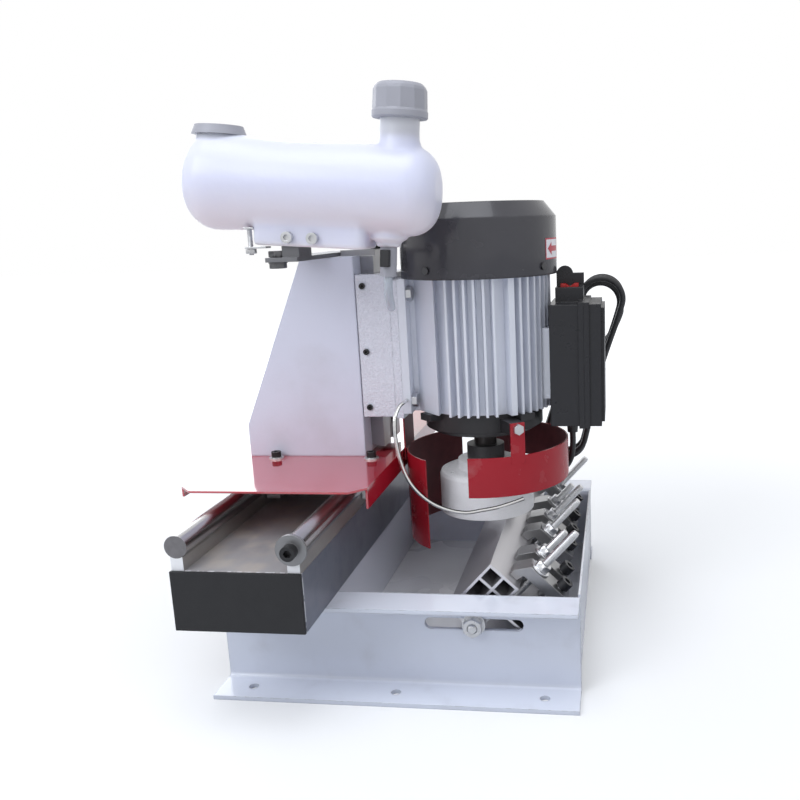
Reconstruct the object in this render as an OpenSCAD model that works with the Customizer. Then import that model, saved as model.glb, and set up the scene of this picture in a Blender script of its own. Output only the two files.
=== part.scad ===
// Planer knife grinder: a head with a cup wheel runs on two rails past a knife clamped in a tray.
// X points right, Y away from the front, Z up. The origin is the middle of the foot holes.

/* [End frames] */
// Width of the two end channels
frame_w = 340; // [300:1:380]
// Height of the end channels
channel_h = 95; // [90:1:100]
// Depth of the channel flanges
flange_d = 38; // [32:1:46]
// Thickness of the channel steel
channel_t = 4; // [3:0.5:5]
// Length of the tray between the two channels
tray_l = 310; // [300:1:330]
// Width of the tray beside the beam
tray_w = 230; // [226:1:260]
// Distance between neighbouring foot holes
foot_pitch = 138; // [120:1:145]
// Diameter of a foot hole
foot_hole_d = 9; // [7:0.5:11]
// Thickness of the tray sheet
tray_t = 2; // [1.5:0.5:3]
// Height of the tray floor above the bench
tray_z = 23; // [18:1:25]

/* [Rail beam] */
// Width of the box beam
beam_w = 115; // [110:1:125]
// Height of the box beam
beam_h = 53; // [48:1:56]
// Wall of the box beam
beam_t = 4; // [3:0.5:6]
// Length of the box beam without its caps
beam_l = 490; // [470:1:520]
// Thickness of the end caps
cap_t = 3; // [2:0.5:5]
// Diameter of the guide rails
rail_d = 20; // [18:0.5:22]
// Distance between the rail centres
rail_pitch = 102; // [99:1:103]
// Width of the strip under each rail
strip_w = 11; // [9:0.5:12]
// Height of the strip under each rail
strip_h = 11; // [9:0.5:14]

/* [Carriage] */
// Length of one bearing block
block_l = 40; // [30:1:50]
// Width of one bearing block
block_w = 42; // [36:1:44]
// Distance between the two bearing blocks on a rail
block_pitch = 110; // [90:1:120]
// Thickness of the carriage plate
plate_t = 6; // [5:0.5:8]
// Length of the red cover
cover_l = 344; // [300:1:360]
// Width of the red cover
cover_w = 180; // [172:1:184]
// Thickness of the red cover
cover_t = 2; // [1.5:0.5:2.5]
// Drop of the cover skirts
skirt_h = 20; // [15:1:22]
// Place of the head along the rails at rest
head_y = 5; // [0:1:10]

/* [Column] */
// Width of the column foot
column_w = 125; // [118:1:130]
// Depth of the column
column_d = 100; // [92:1:104]
// Height of the column above the cover
column_h = 204; // [200:1:215]
// Width of the column top
column_top_w = 54; // [50:1:60]
// Height where the sloping side begins
column_step_h = 34; // [20:1:50]
// Wall of the column
column_t = 5; // [4:0.5:6]

/* [Head] */
// Height of the saddle foot above the cover
saddle_lift = 42; // [38:1:48]
// Thickness of the saddle
saddle_w = 34; // [32:1:36]
// Thickness of the motor plate
motor_plate_t = 8; // [6:0.5:10]
// Height of the saddle travel
saddle_travel = 15; // [10:1:15]
// Depth of the dovetail way
way_d = 16; // [14:0.5:18]
// Width of the dovetail way at its root
way_w = 50; // [44:1:52]
// Thickness of the gib along Y
gib_t = 6; // [5:0.5:7]

/* [Motor] */
// Distance from the motor axis to the motor plate
axis_x_off = 75; // [74:1:77]
// Radius of the motor core
core_r = 62; // [58:1:64]
// Height of the cooling fins
fin_h = 11; // [8:0.5:11.5]
// Thickness of a fin
fin_t = 2.6; // [2:0.2:3]
// Length of the finned body
fin_l = 135; // [130:1:140]
// Radius of the fan cover
fan_r = 80; // [76:1:80]
// Height of the fan cover
fan_h = 72; // [66:1:74]
// Wall of the fan cover
fan_t = 2; // [1.5:0.5:3]
// Height of the lower end shield
shield_h = 24; // [20:1:26]
// Diameter of the motor shaft
shaft_d = 24; // [20:1:28]

/* [Wheel] */
// Diameter of the cup wheel
wheel_d = 100; // [90:1:102]
// Height of the cup wheel
wheel_h = 45; // [40:1:48]
// Width of the grinding rim
rim_w = 18; // [12:1:22]
// Radius of the guard band
guard_r = 87; // [84:1:90]
// Height of the guard band
guard_h = 40; // [34:1:44]
// Thickness of the guard sheet
guard_t = 1.5; // [1:0.5:2]

/* [Knife rail] */
// Slope of the knife face, in degrees
face_angle = 43; // [41:0.5:45]
// Width of the knife face
face_w = 35; // [30:1:38]
// Depth of the knife rail
rail_depth = 62; // [58:1:66]
// Length of the clamp ledge beside the knife face
ledge_w = 52; // [48:1:54]
// Thickness of the clamp ledge
ledge_t = 16; // [14:1:18]
// Drop of the clamp ledge below the knife face
ledge_drop = 14; // [12:1:16]
// Wall of the hollow knife rail
hollow_t = 2.6; // [2:0.2:3.2]
// Diameter of the pivot bolts
pivot_d = 10; // [8:0.5:12]
// Length of the slot that the pivot bolts slide in
slot_l = 92; // [80:1:96]

/* [Clamps] */
// Width of a clamp strap
strap_w = 22; // [18:1:24]
// Thickness of a clamp strap
strap_t = 11; // [9:0.5:12]
// Diameter of the clamp studs
stud_d = 8; // [6:0.5:9]

/* [Coolant tank] */
// Length of the tank
tank_l = 229; // [220:1:240]
// Radius of the tank
tank_r = 39; // [37:0.5:41]
// Wall of the tank
tank_t = 3; // [2:0.5:4]
// Radius of the filler cap
tank_cap_r = 24.5; // [22:0.5:27]
// Slope of the tank toward its outlet, in degrees
tank_tilt = 4.3; // [3:0.1:5]

/* [Switch box] */
// Width of the switch box body
box_w = 34; // [30:1:38]
// Width of the switch box cover
box_cover_w = 20; // [16:1:24]
// Depth of the switch box
box_d = 80; // [70:1:84]
// Height of the switch box
box_h = 122; // [110:1:126]
// Diameter of the power cord
cord_d = 6.5; // [5.5:0.1:7]

/* [Fits] */
// Clearance of sliding and turning fits
run_fit = 0.04; // [0.02:0.01:0.08]
// Clearance between pieces that only pass each other
pass_gap = 0.4; // [0.3:0.05:0.6]

/* [Hidden] */
$fn = 64;
m8_head_r = 6.5;
m8_head_h = 8;
m6_head_r = 5;
m6_head_h = 6;
m6_r = 3;
eps = 0.01;

web_in = tray_l / 2;
web_out = web_in + channel_t;
tray_left = frame_w / 2 - tray_w;
beam_right = tray_left + 6;
beam_x = beam_right - beam_w / 2;
beam_top = channel_h + beam_h;
rail_z = beam_top + strip_h + rail_d / 2;
rail_xs = [beam_x - rail_pitch / 2, beam_x + rail_pitch / 2];
rail_hole_r = 3.4;
rail_hole_l = 22;
stop_r = 13.5;
stop_t = 3;

block_up = rail_d / 2 + 6;
block_down = rail_d / 2 + 4;
block_slot = strip_w + 3;
plate_z = rail_z + block_up;
cover_z = plate_z + plate_t;
deck_z = cover_z + cover_t;
plate_w = rail_pitch + block_w;
plate_l = block_pitch + block_l + 10;
cover_x = beam_x - 0.5;
cover_screw_x = beam_x + 14.5;
cover_screw_pitch = 102;
cover_screw_y = head_y - column_d / 2 - 9;

column_right = beam_x + 57;
column_left = column_right - column_w;
column_top = deck_z + column_h;
way_slope = 0.5;
way_lift = 6;
saddle_x = column_right + 1;
saddle_z = deck_z + saddle_lift;
saddle_h = column_h - saddle_lift - 18;
plate_x = saddle_x + saddle_w;
pad_x = plate_x + motor_plate_t;
axis_x = pad_x + axis_x_off;
fin_z = saddle_z + 3;
fan_z = fin_z + fin_l;
shield_z = fin_z - shield_h;
fin_r = core_r + fin_h;
pad_d = 100;

screw_x = column_right + 10;
screw_d = 10;
screw_channel = screw_d + 6;
screw_seat_t = 6;
hand_r = 26;
hand_h = 10;
hand_gap = 4;
hand_z = column_top + screw_seat_t + hand_gap;

wheel_top = shield_z - 45;
wheel_z = wheel_top - wheel_h;
flange_r = 30;
flange_t = 10;
hub_r = 20;
guard_z = wheel_z + 37;
splash_z = channel_h + 4;
splash_top = guard_z + 32;
splash_r = axis_x - cover_x - cover_w / 2 - guard_t - 1;

apex_x = axis_x + 25;
apex_z = wheel_z - 2.6;
pivot_u = face_w * 0.76;
pivot_t = -rail_depth + 9.4;
stud_u = face_w + 6;
heel_u = face_w + 32;
slot_w = pivot_d + 1;
knife_rail_l = tray_l - 4;
// Clamps stand where they were left along the ledge: place and stud height of each
clamp_ys = [-130, -92, -28, 16, 64, 126];
stud_tops = [70, 52, 66, 68, 50, 70];
strap_lift = 8;
strap_top = strap_lift + strap_t;
nose_u = face_w - 13;
washer_r = 10;
washer_t = 2;
nut_r = 7.5;
nut_h = 6.5;

tank_y = head_y - column_d / 2 - 70;
drain_x = tank_l / 2 - 45;
tank_x = column_left + 185 - drain_x;
tank_axis_z = column_top + 63.7;
tank_foot_x = [drain_x - 118.5, drain_x - 16.5];
tank_foot_w = 50;
tank_foot_h = 12.5;
neck_x = tank_l / 2 - 36.5;
neck_r = 17.5;
neck_h = 43;
cap_h = 29;
vent_x = -tank_l / 2 + 27;
vent_r = 20;
drain_r = 11;
drain_h = 10;
valve_r = 7.5;
valve_h = 26;
box_x = axis_x + core_r + fin_h + 1;
box_z = fin_z - 16;
box_y = head_y;

foot_z = -tank_r - tank_foot_h;
cradle_w = tank_foot_w - 2 * tank_t - 2 * pass_gap;
cradle_t = 4;
foot_hollow = tank_foot_h - 0.5;
tank_screw_xs = [drain_x - 84.5, drain_x - 61.5];
tank_screw_z = foot_z + 8;
tap_z = -tank_r - drain_h - valve_h / 2;
tap_r = 3;
hose_r = 4;
hose_top = [drain_x, 0, -tank_r - drain_h - valve_h - pass_gap];
hose_path = [hose_top, hose_top + [0, 0, -8], hose_top + [-1, 8, -20], hose_top + [-2, 20, -30]];
gib_gap = 2 * run_fit;
screw_nut_h = 24;
gib_zs = [10, saddle_h / 2 - 5, saddle_h - 11];
foot_zs = [16, fan_z - saddle_z - 14];
gib_x = column_right + way_d / 2;
m8_r = 4;
foot_t = 8;
foot_pitch_y = 84;
bell_h = 14;
bell_r = fan_r - fan_t - 2 * eps;
bearing_r = 26;
bearing_h = 15;
stator_r = core_r - 8;
fin_step = 7.5;
fin_side = 15;
rib_w = 6.5;
rib_side = -56.5;
// Half of the neck between the motor foot and the round body, from the foot outward
neck_line = [[foot_t - axis_x_off, pad_d / 2 - 22], [foot_t + 5.5 - axis_x_off, pad_d / 2 - 16],
    [-core_r * 0.58, core_r]];
ear_w = 15;
ear_h = 12;
ear_z = shield_z + 8;
guard_ears = [-60, 62];
fan_screw_as = [-120, -30, 60, 150];
fan_screw_z = 9;
wheel_back = 14;
wheel_bore_r = 8;
tube_r = 2;
tube_path = [[-7, -45, 252], [-7, -52, 252], [-12, -60, 248], [-15, -68, 236], [-14, -71, 214],
    [-9, -72, 190], [0, -72, 170], [16, -70, 153], [34, -66, 143], [52, -63, 139], [68, -61, 141],
    [84, -60, 144], [100, -59, 149], [111, -58, 153]];
wall = 2.5;
switch_w = 28;
switch_d = 30;
switch_h = 15;
hood_t = 6;
hood_h = 28;
hood_r = 8.5;
// Raised rims where the box and its cover meet
rim_l = 5.5;
rim_out = 2;
rocker_w = 20;
rocker_d = 13;
rocker_r = 9;
rocker_pin_r = 1.6;
box_top = box_z + box_h;
rocker_x = box_x + 5 + switch_w / 2;
rocker_z = box_top + switch_h - 5;
gland_r = 7;
gland_h = 22;
gland_xyz = [box_x + 18, box_y + 28, box_z];
hank_mid = [box_x + 27.5, box_y + box_d / 2 + 31, box_z + 35];
hank_tilt = 15;
hank_lean = 5;
hank_r = 22;
hank_run = 164;
hank_waist = 4;
hank_loose = 1.5;
hank_step = cord_d + 1.4;
hank_fold_n = 8;
hank_run_n = 6;
hank_turn_n = 2 * (hank_fold_n + hank_run_n);
hank_first = hank_fold_n / 2;
hank_last = 3 * hank_turn_n + hank_first + hank_run_n + hank_fold_n;
lead_straight = 14;
lead_drop = 30;
lead_in = 2.5;
plug_r = 13;
tie_w = 10;
tie_t = 3;
bolt_in = 24;
// Tee heads of the clamp studs in the ledge slot
tee_w = 13;
tee_h = 5;
tee_z = -ledge_drop - 6 - tee_h;
heel_screw_l = strap_top + ledge_drop - pass_gap + 2;

// A straight prism of a profile drawn in X and Z, centred along Y
module prism(l) {
    rotate([90, 0, 0]) translate([0, 0, -l / 2]) linear_extrude(l) children();
}

// A plain cylinder along Y, from one end to the other
module y_cyl(r, y0, y1) {
    translate([0, y0, 0]) rotate([-90, 0, 0]) cylinder(r = r, h = y1 - y0);
}

// A plain cylinder along X, from one end to the other
module x_cyl(r, x0, x1) {
    translate([x0, 0, 0]) rotate([0, 90, 0]) cylinder(r = r, h = x1 - x0);
}

// A socket head screw with its seat at zero and its shank below
module socket_screw(r, head_r, head_h, l) {
    difference() {
        union() {
            cylinder(r = head_r, h = head_h);
            translate([0, 0, -l]) cylinder(r = r, h = l + eps);
        }
        translate([0, 0, head_h * 0.45]) cylinder(r = head_r * 0.55, h = head_h, $fn = 6);
    }
}

// Places in the knife rail's own frame: x runs down the knife face and z out of it
module in_rail() {
    translate([apex_x, 0, apex_z]) rotate([0, face_angle, 0]) children();
}

// Places in the tank's own frame: x runs along the tank and the origin is its middle
module in_tank() {
    translate([tank_x, tank_y, tank_axis_z]) rotate([0, tank_tilt, 0]) children();
}

// Places at the motor axis with Z as modelled
module at_axis() {
    translate([axis_x, head_y, 0]) children();
}

// A part of an upright sheet ring
module ring_sheet(r, t, z0, z1, a0, a1) {
    translate([0, 0, z0]) rotate([0, 0, a0]) rotate_extrude(angle = a1 - a0)
        translate([r, 0]) square([t, z1 - z0]);
}

// The pivot slot cut through an end channel
module pivot_slot() {
    in_rail() translate([pivot_u, 0, pivot_t]) rotate([0, -face_angle, 0]) {
        half = slot_l / 2 - slot_w / 2;
        for (x = [-half, half]) translate([x, 0, 0]) y_cyl(slot_w / 2, -web_out - 1, -web_in + 1);
        translate([-half, -web_out - 1, -slot_w / 2]) cube([2 * half, channel_t + 2, slot_w]);
    }
}

module end_channel() {
    out = web_out + flange_d;
    bend_r = 2 * channel_t;
    difference() {
        union() {
            translate([-frame_w / 2, -web_out, bend_r]) cube([frame_w, channel_t, channel_h - 2 * bend_r]);
            for (z = [0, channel_h - channel_t]) translate([-frame_w / 2, -out, z])
                cube([frame_w, flange_d + channel_t - bend_r, channel_t]);
            for (z = [bend_r, channel_h - bend_r]) translate([-frame_w / 2, -web_in - bend_r, z])
                rotate([90, 0, 90]) rotate([0, 0, z > bend_r ? 0 : -90])
                    ring_sheet(bend_r - channel_t, channel_t, 0, frame_w, 0, 90);
        }
        for (i = [-1:1]) translate([i * foot_pitch, -web_out - flange_d / 2, -1])
            cylinder(d = foot_hole_d, h = channel_t + 2);
        pivot_slot();
    }
}

module front_channel() {
    color([0.78, 0.79, 0.84]) end_channel();
}

module rear_channel() {
    color([0.78, 0.79, 0.84]) mirror([0, 1, 0]) end_channel();
}

module coolant_tray() {
    wall_h = channel_h - tray_z;
    color([0.74, 0.75, 0.8]) translate([tray_left, -web_in, tray_z]) {
        cube([tray_w, tray_l, tray_t]);
        cube([tray_t, tray_l, wall_h]);
        translate([tray_w - tray_t, 0, 0]) cube([tray_t, tray_l, wall_h]);
    }
}

module rail_beam() {
    color([0.3, 0.31, 0.35]) translate([beam_x, 0, channel_h + beam_h / 2]) prism(beam_l)
        difference() {
            square([beam_w, beam_h], center = true);
            square([beam_w - 2 * beam_t, beam_h - 2 * beam_t], center = true);
        }
}

module beam_caps() {
    plug = 8;
    inset = 2 * beam_t + pass_gap;
    color([0.07, 0.07, 0.08]) for (s = [-1, 1]) translate([beam_x, 0, channel_h + beam_h / 2]) {
        translate([0, s * (beam_l + cap_t) / 2, 0]) cube([beam_w, cap_t, beam_h], center = true);
        translate([0, s * (beam_l - plug) / 2, 0])
            cube([beam_w - inset, plug + eps, beam_h - inset], center = true);
    }
}

module rail_strips() {
    color([0.72, 0.72, 0.72]) for (x = rail_xs) translate([x, 0, 0]) difference() {
        translate([-strip_w / 2, -beam_l / 2, beam_top]) cube([strip_w, beam_l, strip_h + 1.2]);
        translate([0, 0, rail_z]) y_cyl(rail_d / 2 + eps, -beam_l, beam_l);
    }
}

module guide_rails() {
    color([0.6, 0.6, 0.62]) {
        translate([rail_xs[0], 0, rail_z]) y_cyl(rail_d / 2, -beam_l / 2, beam_l / 2);
        translate([rail_xs[1], 0, rail_z]) difference() {
            y_cyl(rail_d / 2, -beam_l / 2, beam_l / 2);
            y_cyl(rail_hole_r, -beam_l / 2 - 1, -beam_l / 2 + rail_hole_l);
            y_cyl(rail_hole_r, beam_l / 2 - rail_hole_l, beam_l / 2 + 1);
        }
    }
}

// A thick washer and a socket screw on each end of the right rail stop the carriage
module rail_stops() {
    color([0.65, 0.65, 0.66]) for (s = [0, 1]) mirror([0, s, 0])
        translate([rail_xs[1], -beam_l / 2, rail_z]) {
        difference() {
            y_cyl(stop_r, -stop_t, 0);
            y_cyl(rail_hole_r, -stop_t - 1, 1);
        }
        translate([0, -stop_t, 0]) rotate([90, 0, 0])
            socket_screw(rail_hole_r - eps, m8_head_r, m8_head_h, rail_hole_l - 2);
    }
}

module carriage_plate() {
    color([0.45, 0.45, 0.48]) difference() {
        translate([beam_x - plate_w / 2, head_y - plate_l / 2, plate_z]) cube([plate_w, plate_l, plate_t]);
        cover_screw_places() translate([0, 0, -20]) cylinder(r = m6_r + eps, h = 40);
    }
}

module bearing_blocks() {
    color([0.7, 0.7, 0.72]) for (x = rail_xs, s = [-1, 1])
        translate([x, head_y + s * block_pitch / 2, rail_z]) difference() {
            translate([-block_w / 2, -block_l / 2, -block_down])
                cube([block_w, block_l, block_up + block_down]);
            y_cyl(rail_d / 2 + run_fit, -block_l, block_l);
            translate([-block_slot / 2, -block_l, -block_down - 1])
                cube([block_slot, 2 * block_l, block_down + 1]);
        }
}

module cover_screw_places() {
    for (s = [-1, 1]) translate([cover_screw_x + s * cover_screw_pitch / 2, cover_screw_y, deck_z])
        children();
}

// The red sheet over the carriage, folded down at both sides
module carriage_cover() {
    half = cover_l / 2;
    nip = 14;
    color([0.72, 0.1, 0.15]) difference() {
        translate([cover_x, head_y, 0]) {
            translate([0, 0, cover_z]) linear_extrude(cover_t) polygon([
                [-cover_w / 2, -half + nip], [-cover_w / 2 + nip, -half], [cover_w / 2 - nip, -half],
                [cover_w / 2, -half + nip], [cover_w / 2, half - nip], [cover_w / 2 - nip, half],
                [-cover_w / 2 + nip, half], [-cover_w / 2, half - nip]]);
            for (s = [[-cover_w / 2, skirt_h / 2], [cover_w / 2 - cover_t, skirt_h]])
                translate([s[0], -half + nip, deck_z - s[1]]) cube([cover_t, cover_l - 2 * nip, s[1] - eps]);
        }
        cover_screw_places() translate([0, 0, -10]) cylinder(r = m6_r + pass_gap, h = 20);
    }
}

module cover_screws() {
    washer = 1.5;
    color([0.1, 0.1, 0.11]) cover_screw_places() {
        difference() {
            cylinder(r = m6_head_r + 2.5, h = washer);
            translate([0, 0, -1]) cylinder(r = m6_r + eps, h = washer + 2);
        }
        translate([0, 0, washer]) socket_screw(m6_r, m6_head_r, m6_head_h, washer + cover_t + plate_t);
    }
}

// The pillar is a welded sheet box, straight on the right and sloping on the left
module column() {
    slope_x = column_right - column_top_w;
    color([0.74, 0.76, 0.83]) translate([0, head_y, 0]) difference() {
        prism(column_d) polygon([
            [column_left, deck_z], [column_left, deck_z + column_step_h], [slope_x, column_top],
            [column_right, column_top], [column_right, deck_z]]);
        prism(column_d - 2 * column_t) polygon([
            [column_left + column_t, deck_z - 1], [column_left + column_t, deck_z + column_step_h - 1],
            [slope_x + column_t, column_top - column_t], [column_right - column_t, column_top - column_t],
            [column_right - column_t, deck_z - 1]]);
    }
}

// One side of the dovetail at depth a, measured along Y from the middle
function flank(a) = way_w / 2 + way_slope * a;

// The fixed dovetail, with a channel for the feed screw and a seat for it on top
module dovetail_way() {
    seat_l = way_d + 20;
    color([0.6, 0.6, 0.63]) difference() {
        union() {
            translate([column_right, head_y, deck_z + way_lift]) linear_extrude(column_h - way_lift + eps)
                polygon([[0, -flank(0)], [way_d, -flank(way_d)], [way_d, flank(way_d)], [0, flank(0)]]);
            translate([column_right + way_d - seat_l, head_y - way_w / 2, column_top])
                cube([seat_l, way_w, screw_seat_t]);
        }
        translate([screw_x - screw_channel / 2, head_y - screw_channel / 2, deck_z])
            cube([way_d + screw_channel, screw_channel, column_h - 4]);
        translate([screw_x, head_y, deck_z]) cylinder(d = screw_d + 2 * run_fit, h = column_h + 20);
    }
}

module feed_screw() {
    color([0.55, 0.55, 0.57]) translate([screw_x, head_y, deck_z + way_lift + 2]) {
        cylinder(d = screw_d, h = hand_z + hand_h - deck_z - way_lift - 2);
    }
}

module feed_handwheel() {
    hub_hand_r = 9;
    rim = 6;
    color([0.06, 0.06, 0.07]) translate([screw_x, head_y, hand_z]) difference() {
        union() {
            difference() {
                cylinder(r = hand_r, h = hand_h);
                translate([0, 0, -1]) cylinder(r = hand_r - rim, h = hand_h + 2);
            }
            translate([0, 0, pass_gap - hand_gap]) cylinder(r = hub_hand_r, h = hand_h + hand_gap - pass_gap);
            for (a = [0, 120, 240]) rotate([0, 0, a]) translate([0, -3, 2])
                cube([hand_r - rim + 1, 6, hand_h - 4]);
        }
        translate([0, 0, -20]) cylinder(d = screw_d + 2 * eps, h = hand_h + 40);
    }
}

// A bar on the column top reaches forward and carries a sloping cradle with a front lip
module tank_bracket() {
    bar_x = column_right - column_top_w + 2;
    bar_w = 30;
    post_w = 16;
    bar_y = tank_y - cradle_w / 2;
    post_h = tank_axis_z + foot_z - column_top + cradle_t;
    cradle_l = tank_foot_x[1] - tank_foot_x[0] - 2 * tank_t - 2 * pass_gap;
    color([0.5, 0.5, 0.53]) {
        translate([bar_x, bar_y, column_top]) cube([bar_w, head_y + column_d / 2 - bar_y, cradle_t]);
        translate([bar_x + bar_w - post_w, tank_y - post_w, column_top + 1])
            cube([post_w, 2 * post_w, post_h]);
        difference() {
            in_tank() translate([tank_foot_x[0] + tank_t + pass_gap, -cradle_w / 2, foot_z + 1]) {
                cube([cradle_l, cradle_w, cradle_t]);
                cube([cradle_l, cradle_t, foot_hollow - 1 - pass_gap]);
            }
            tank_screw_places() rotate([90, 0, 0]) translate([0, 0, -30]) cylinder(r = m6_r + eps, h = 60);
        }
    }
}

module tank_screw_places() {
    in_tank() for (x = tank_screw_xs) translate([x, -tank_foot_w / 2, tank_screw_z]) children();
}

// Radius of the tank along its length: a little fuller at the left end, round at both ends
function tank_round(x, r) = let (d = tank_l / 2 - abs(x), e = 26)
    d >= e ? r : r - e + sqrt(max(0, e * e - (e - d) * (e - d)));
function tank_radius(x) = tank_round(x, tank_r + 3 * pow(max(0, -x / (tank_l / 2)), 3));

module coolant_tank() {
    steps = 40;
    xs = [for (i = [0:steps]) -tank_l / 2 * cos(180 * i / steps)];
    inner_l = tank_l - 2 * tank_t;
    outer = concat([[0, -tank_l / 2]], [for (x = xs) [tank_radius(x), x]], [[0, tank_l / 2]]);
    inner = concat([[0, -inner_l / 2]], [for (x = xs) [tank_radius(x) - tank_t, x * inner_l / tank_l]],
        [[0, inner_l / 2]]);
    foot_l = tank_foot_x[1] - tank_foot_x[0];
    color([0.9, 0.9, 0.96]) in_tank() difference() {
        union() {
            rotate([0, 90, 0]) rotate_extrude() polygon(outer);
            translate([tank_foot_x[0], -tank_foot_w / 2, foot_z]) cube([foot_l, tank_foot_w, tank_r / 2]);
            translate([neck_x, 0, 0]) cylinder(r = neck_r, h = tank_r + neck_h);
            translate([vent_x, 0, 0]) cylinder(r = vent_r, h = tank_r + 7);
            translate([drain_x, 0, -tank_r - drain_h]) cylinder(r = drain_r, h = tank_r);
        }
        rotate([0, 90, 0]) rotate_extrude() polygon(inner);
        translate([tank_foot_x[0] + tank_t, -tank_foot_w / 2 + tank_t, foot_z - 1])
            cube([foot_l - 2 * tank_t, tank_foot_w - 2 * tank_t, foot_hollow + 1]);
        translate([neck_x, 0, 0]) cylinder(r = neck_r - tank_t, h = tank_r + neck_h + 1);
        translate([vent_x, 0, 0]) cylinder(r = vent_r - tank_t, h = tank_r + 8);
        translate([drain_x, 0, -tank_r - drain_h - 1]) cylinder(r = drain_r - 5, h = tank_r);
        for (x = tank_screw_xs) translate([x, 0, tank_screw_z])
            y_cyl(m6_r + pass_gap / 2, -tank_foot_w / 2 - 1, -tank_foot_w / 2 + tank_t + 1);
    }
}

module tank_screws() {
    color([0.7, 0.7, 0.72]) tank_screw_places() rotate([90, 0, 0])
        socket_screw(m6_r, m6_head_r, m6_head_h - 1, tank_t + cradle_t + pass_gap + 2);
}

// The filler cap has flat grips round its side
module filler_cap() {
    color([0.5, 0.5, 0.53]) in_tank() translate([neck_x, 0, tank_r + neck_h - cap_h + 8]) difference() {
        union() {
            cylinder(r = tank_cap_r, h = cap_h - 4, $fn = 12);
            cylinder(r = tank_cap_r - 1.4, h = cap_h);
        }
        translate([0, 0, -1]) cylinder(r = neck_r + pass_gap, h = cap_h - 8 + 1 + pass_gap);
    }
}

module vent_lid() {
    color([0.6, 0.6, 0.62]) in_tank() translate([vent_x, 0, tank_r + 4]) difference() {
        cylinder(r1 = vent_r + 4, r2 = vent_r + 1, h = 8);
        translate([0, 0, -1]) cylinder(r = vent_r + pass_gap, h = 4 + pass_gap);
    }
}

// The tap screws up into the drain boss and lets coolant down into the hose
module drain_valve() {
    color([0.6, 0.6, 0.62]) in_tank() difference() {
        translate([drain_x, 0, -tank_r - drain_h - valve_h]) union() {
            cylinder(r = valve_r, h = valve_h);
            translate([0, 0, valve_h - eps]) cylinder(r = drain_r - 5 - eps, h = 8);
        }
        translate([drain_x, 0, -tank_r - drain_h - valve_h - 1]) cylinder(r = 3, h = valve_h + 10);
        translate([drain_x, 0, tap_z]) y_cyl(tap_r + run_fit, -valve_r - 1, valve_r - 2);
    }
}

module valve_tap() {
    color([0.15, 0.15, 0.16]) in_tank() translate([drain_x, 0, tap_z]) difference() {
        union() {
            y_cyl(tap_r, -valve_r - 4, valve_r - 2.5);
            translate([-4, -valve_r - 7, -4]) cube([8, 6, 15]);
        }
        translate([0, 0, -valve_r]) cylinder(r = tap_r - 1, h = 2 * valve_r);
    }
}

// Directions along a run of points, and a side direction carried along it without twist
function unit(v) = v / norm(v);
function tangent(ps, i) = unit(ps[min(i + 1, len(ps) - 1)] - ps[max(i - 1, 0)]);
function square_to(u, d) = unit(u - (u * d) * d);
function sides(ps, u0) = let (m = len(ps)) [
    for (i = 0, u = square_to(u0, tangent(ps, 0)); i < m;
        i = i + 1, u = i < m ? square_to(u, tangent(ps, i)) : u) u];
function ring(p, d, u, r, n) = let (v = cross(d, u))
    [for (k = [0:n - 1]) p + r * (cos(360 * k / n) * u + sin(360 * k / n) * v)];

// Points put between the chosen ones so that the run bends smoothly
function curve(a, b, c, d, t) = 0.5 * (2 * b + (c - a) * t + (2 * a - 5 * b + 4 * c - d) * t * t
    + (3 * b - a - 3 * c + d) * t * t * t);
function smooth(ps, n) = let (m = len(ps) - 1) concat([for (i = [0:m - 1], k = [0:n - 1])
    curve(ps[max(i - 1, 0)], ps[i], ps[i + 1], ps[min(i + 2, m)], k / n)], [ps[m]]);

// A tube of n sides swept along points, closed at both ends
module tube(ps, r, n, u0 = [0, 1, 0.1]) {
    m = len(ps);
    us = sides(ps, u0);
    rings = [for (i = [0:m - 1]) ring(ps[i], tangent(ps, i), us[i], r, n)];
    pts = [for (rg = rings) each rg];
    walls = [for (i = [0:m - 2], k = [0:n - 1]) let (a = i * n + k, b = i * n + (k + 1) % n)
        each [[a, a + n, b], [b, a + n, b + n]]];
    ends = [for (k = [1:n - 2]) each [[0, k, k + 1], [(m - 1) * n, (m - 1) * n + k + 1, (m - 1) * n + k]]];
    polyhedron(points = pts, faces = concat(walls, ends));
}

// The clear hose hangs from the tap
module coolant_hose() {
    color([0.8, 0.85, 0.9]) in_tank() tube(smooth(hose_path, 4), hose_r, 10);
}

// The moving slide: a block with the dovetail groove, a nut for the feed screw and bolt holes
module saddle() {
    a0 = -2;
    a1 = way_d + 1;
    near = gib_t + 2 * gib_gap;
    lug_x = screw_x - screw_channel / 2 + 1;
    color([0.82, 0.82, 0.84]) difference() {
        union() {
            difference() {
                translate([saddle_x, head_y - column_d / 2, saddle_z]) cube([saddle_w, column_d, saddle_h]);
                translate([column_right, head_y, saddle_z - 1]) linear_extrude(saddle_h + 2) polygon([
                    [a0, -flank(a0) - near], [a1, -flank(a1) - near],
                    [a1, flank(a1) + gib_gap], [a0, flank(a0) + gib_gap]]);
            }
            translate([lug_x, head_y - screw_channel / 2 + 1, saddle_z + 30])
                cube([column_right + way_d + 4 - lug_x, screw_channel - 2, screw_nut_h]);
        }
        translate([screw_x, head_y, saddle_z]) cylinder(d = screw_d + 2 * run_fit, h = saddle_h);
        for (z = gib_zs) translate([gib_x, 0, saddle_z + z]) y_cyl(m6_r - eps, -column_d, head_y);
        foot_bolt_places() x_cyl(m8_r + eps, -30, 0);
    }
}

module gib_strip() {
    color([0.5, 0.5, 0.5]) translate([column_right, head_y, saddle_z]) linear_extrude(saddle_h) polygon([
        [2, -flank(2) - gib_gap], [way_d, -flank(way_d) - gib_gap],
        [way_d, -flank(way_d) - gib_gap - gib_t], [2, -flank(2) - gib_gap - gib_t]]);
}

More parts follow.
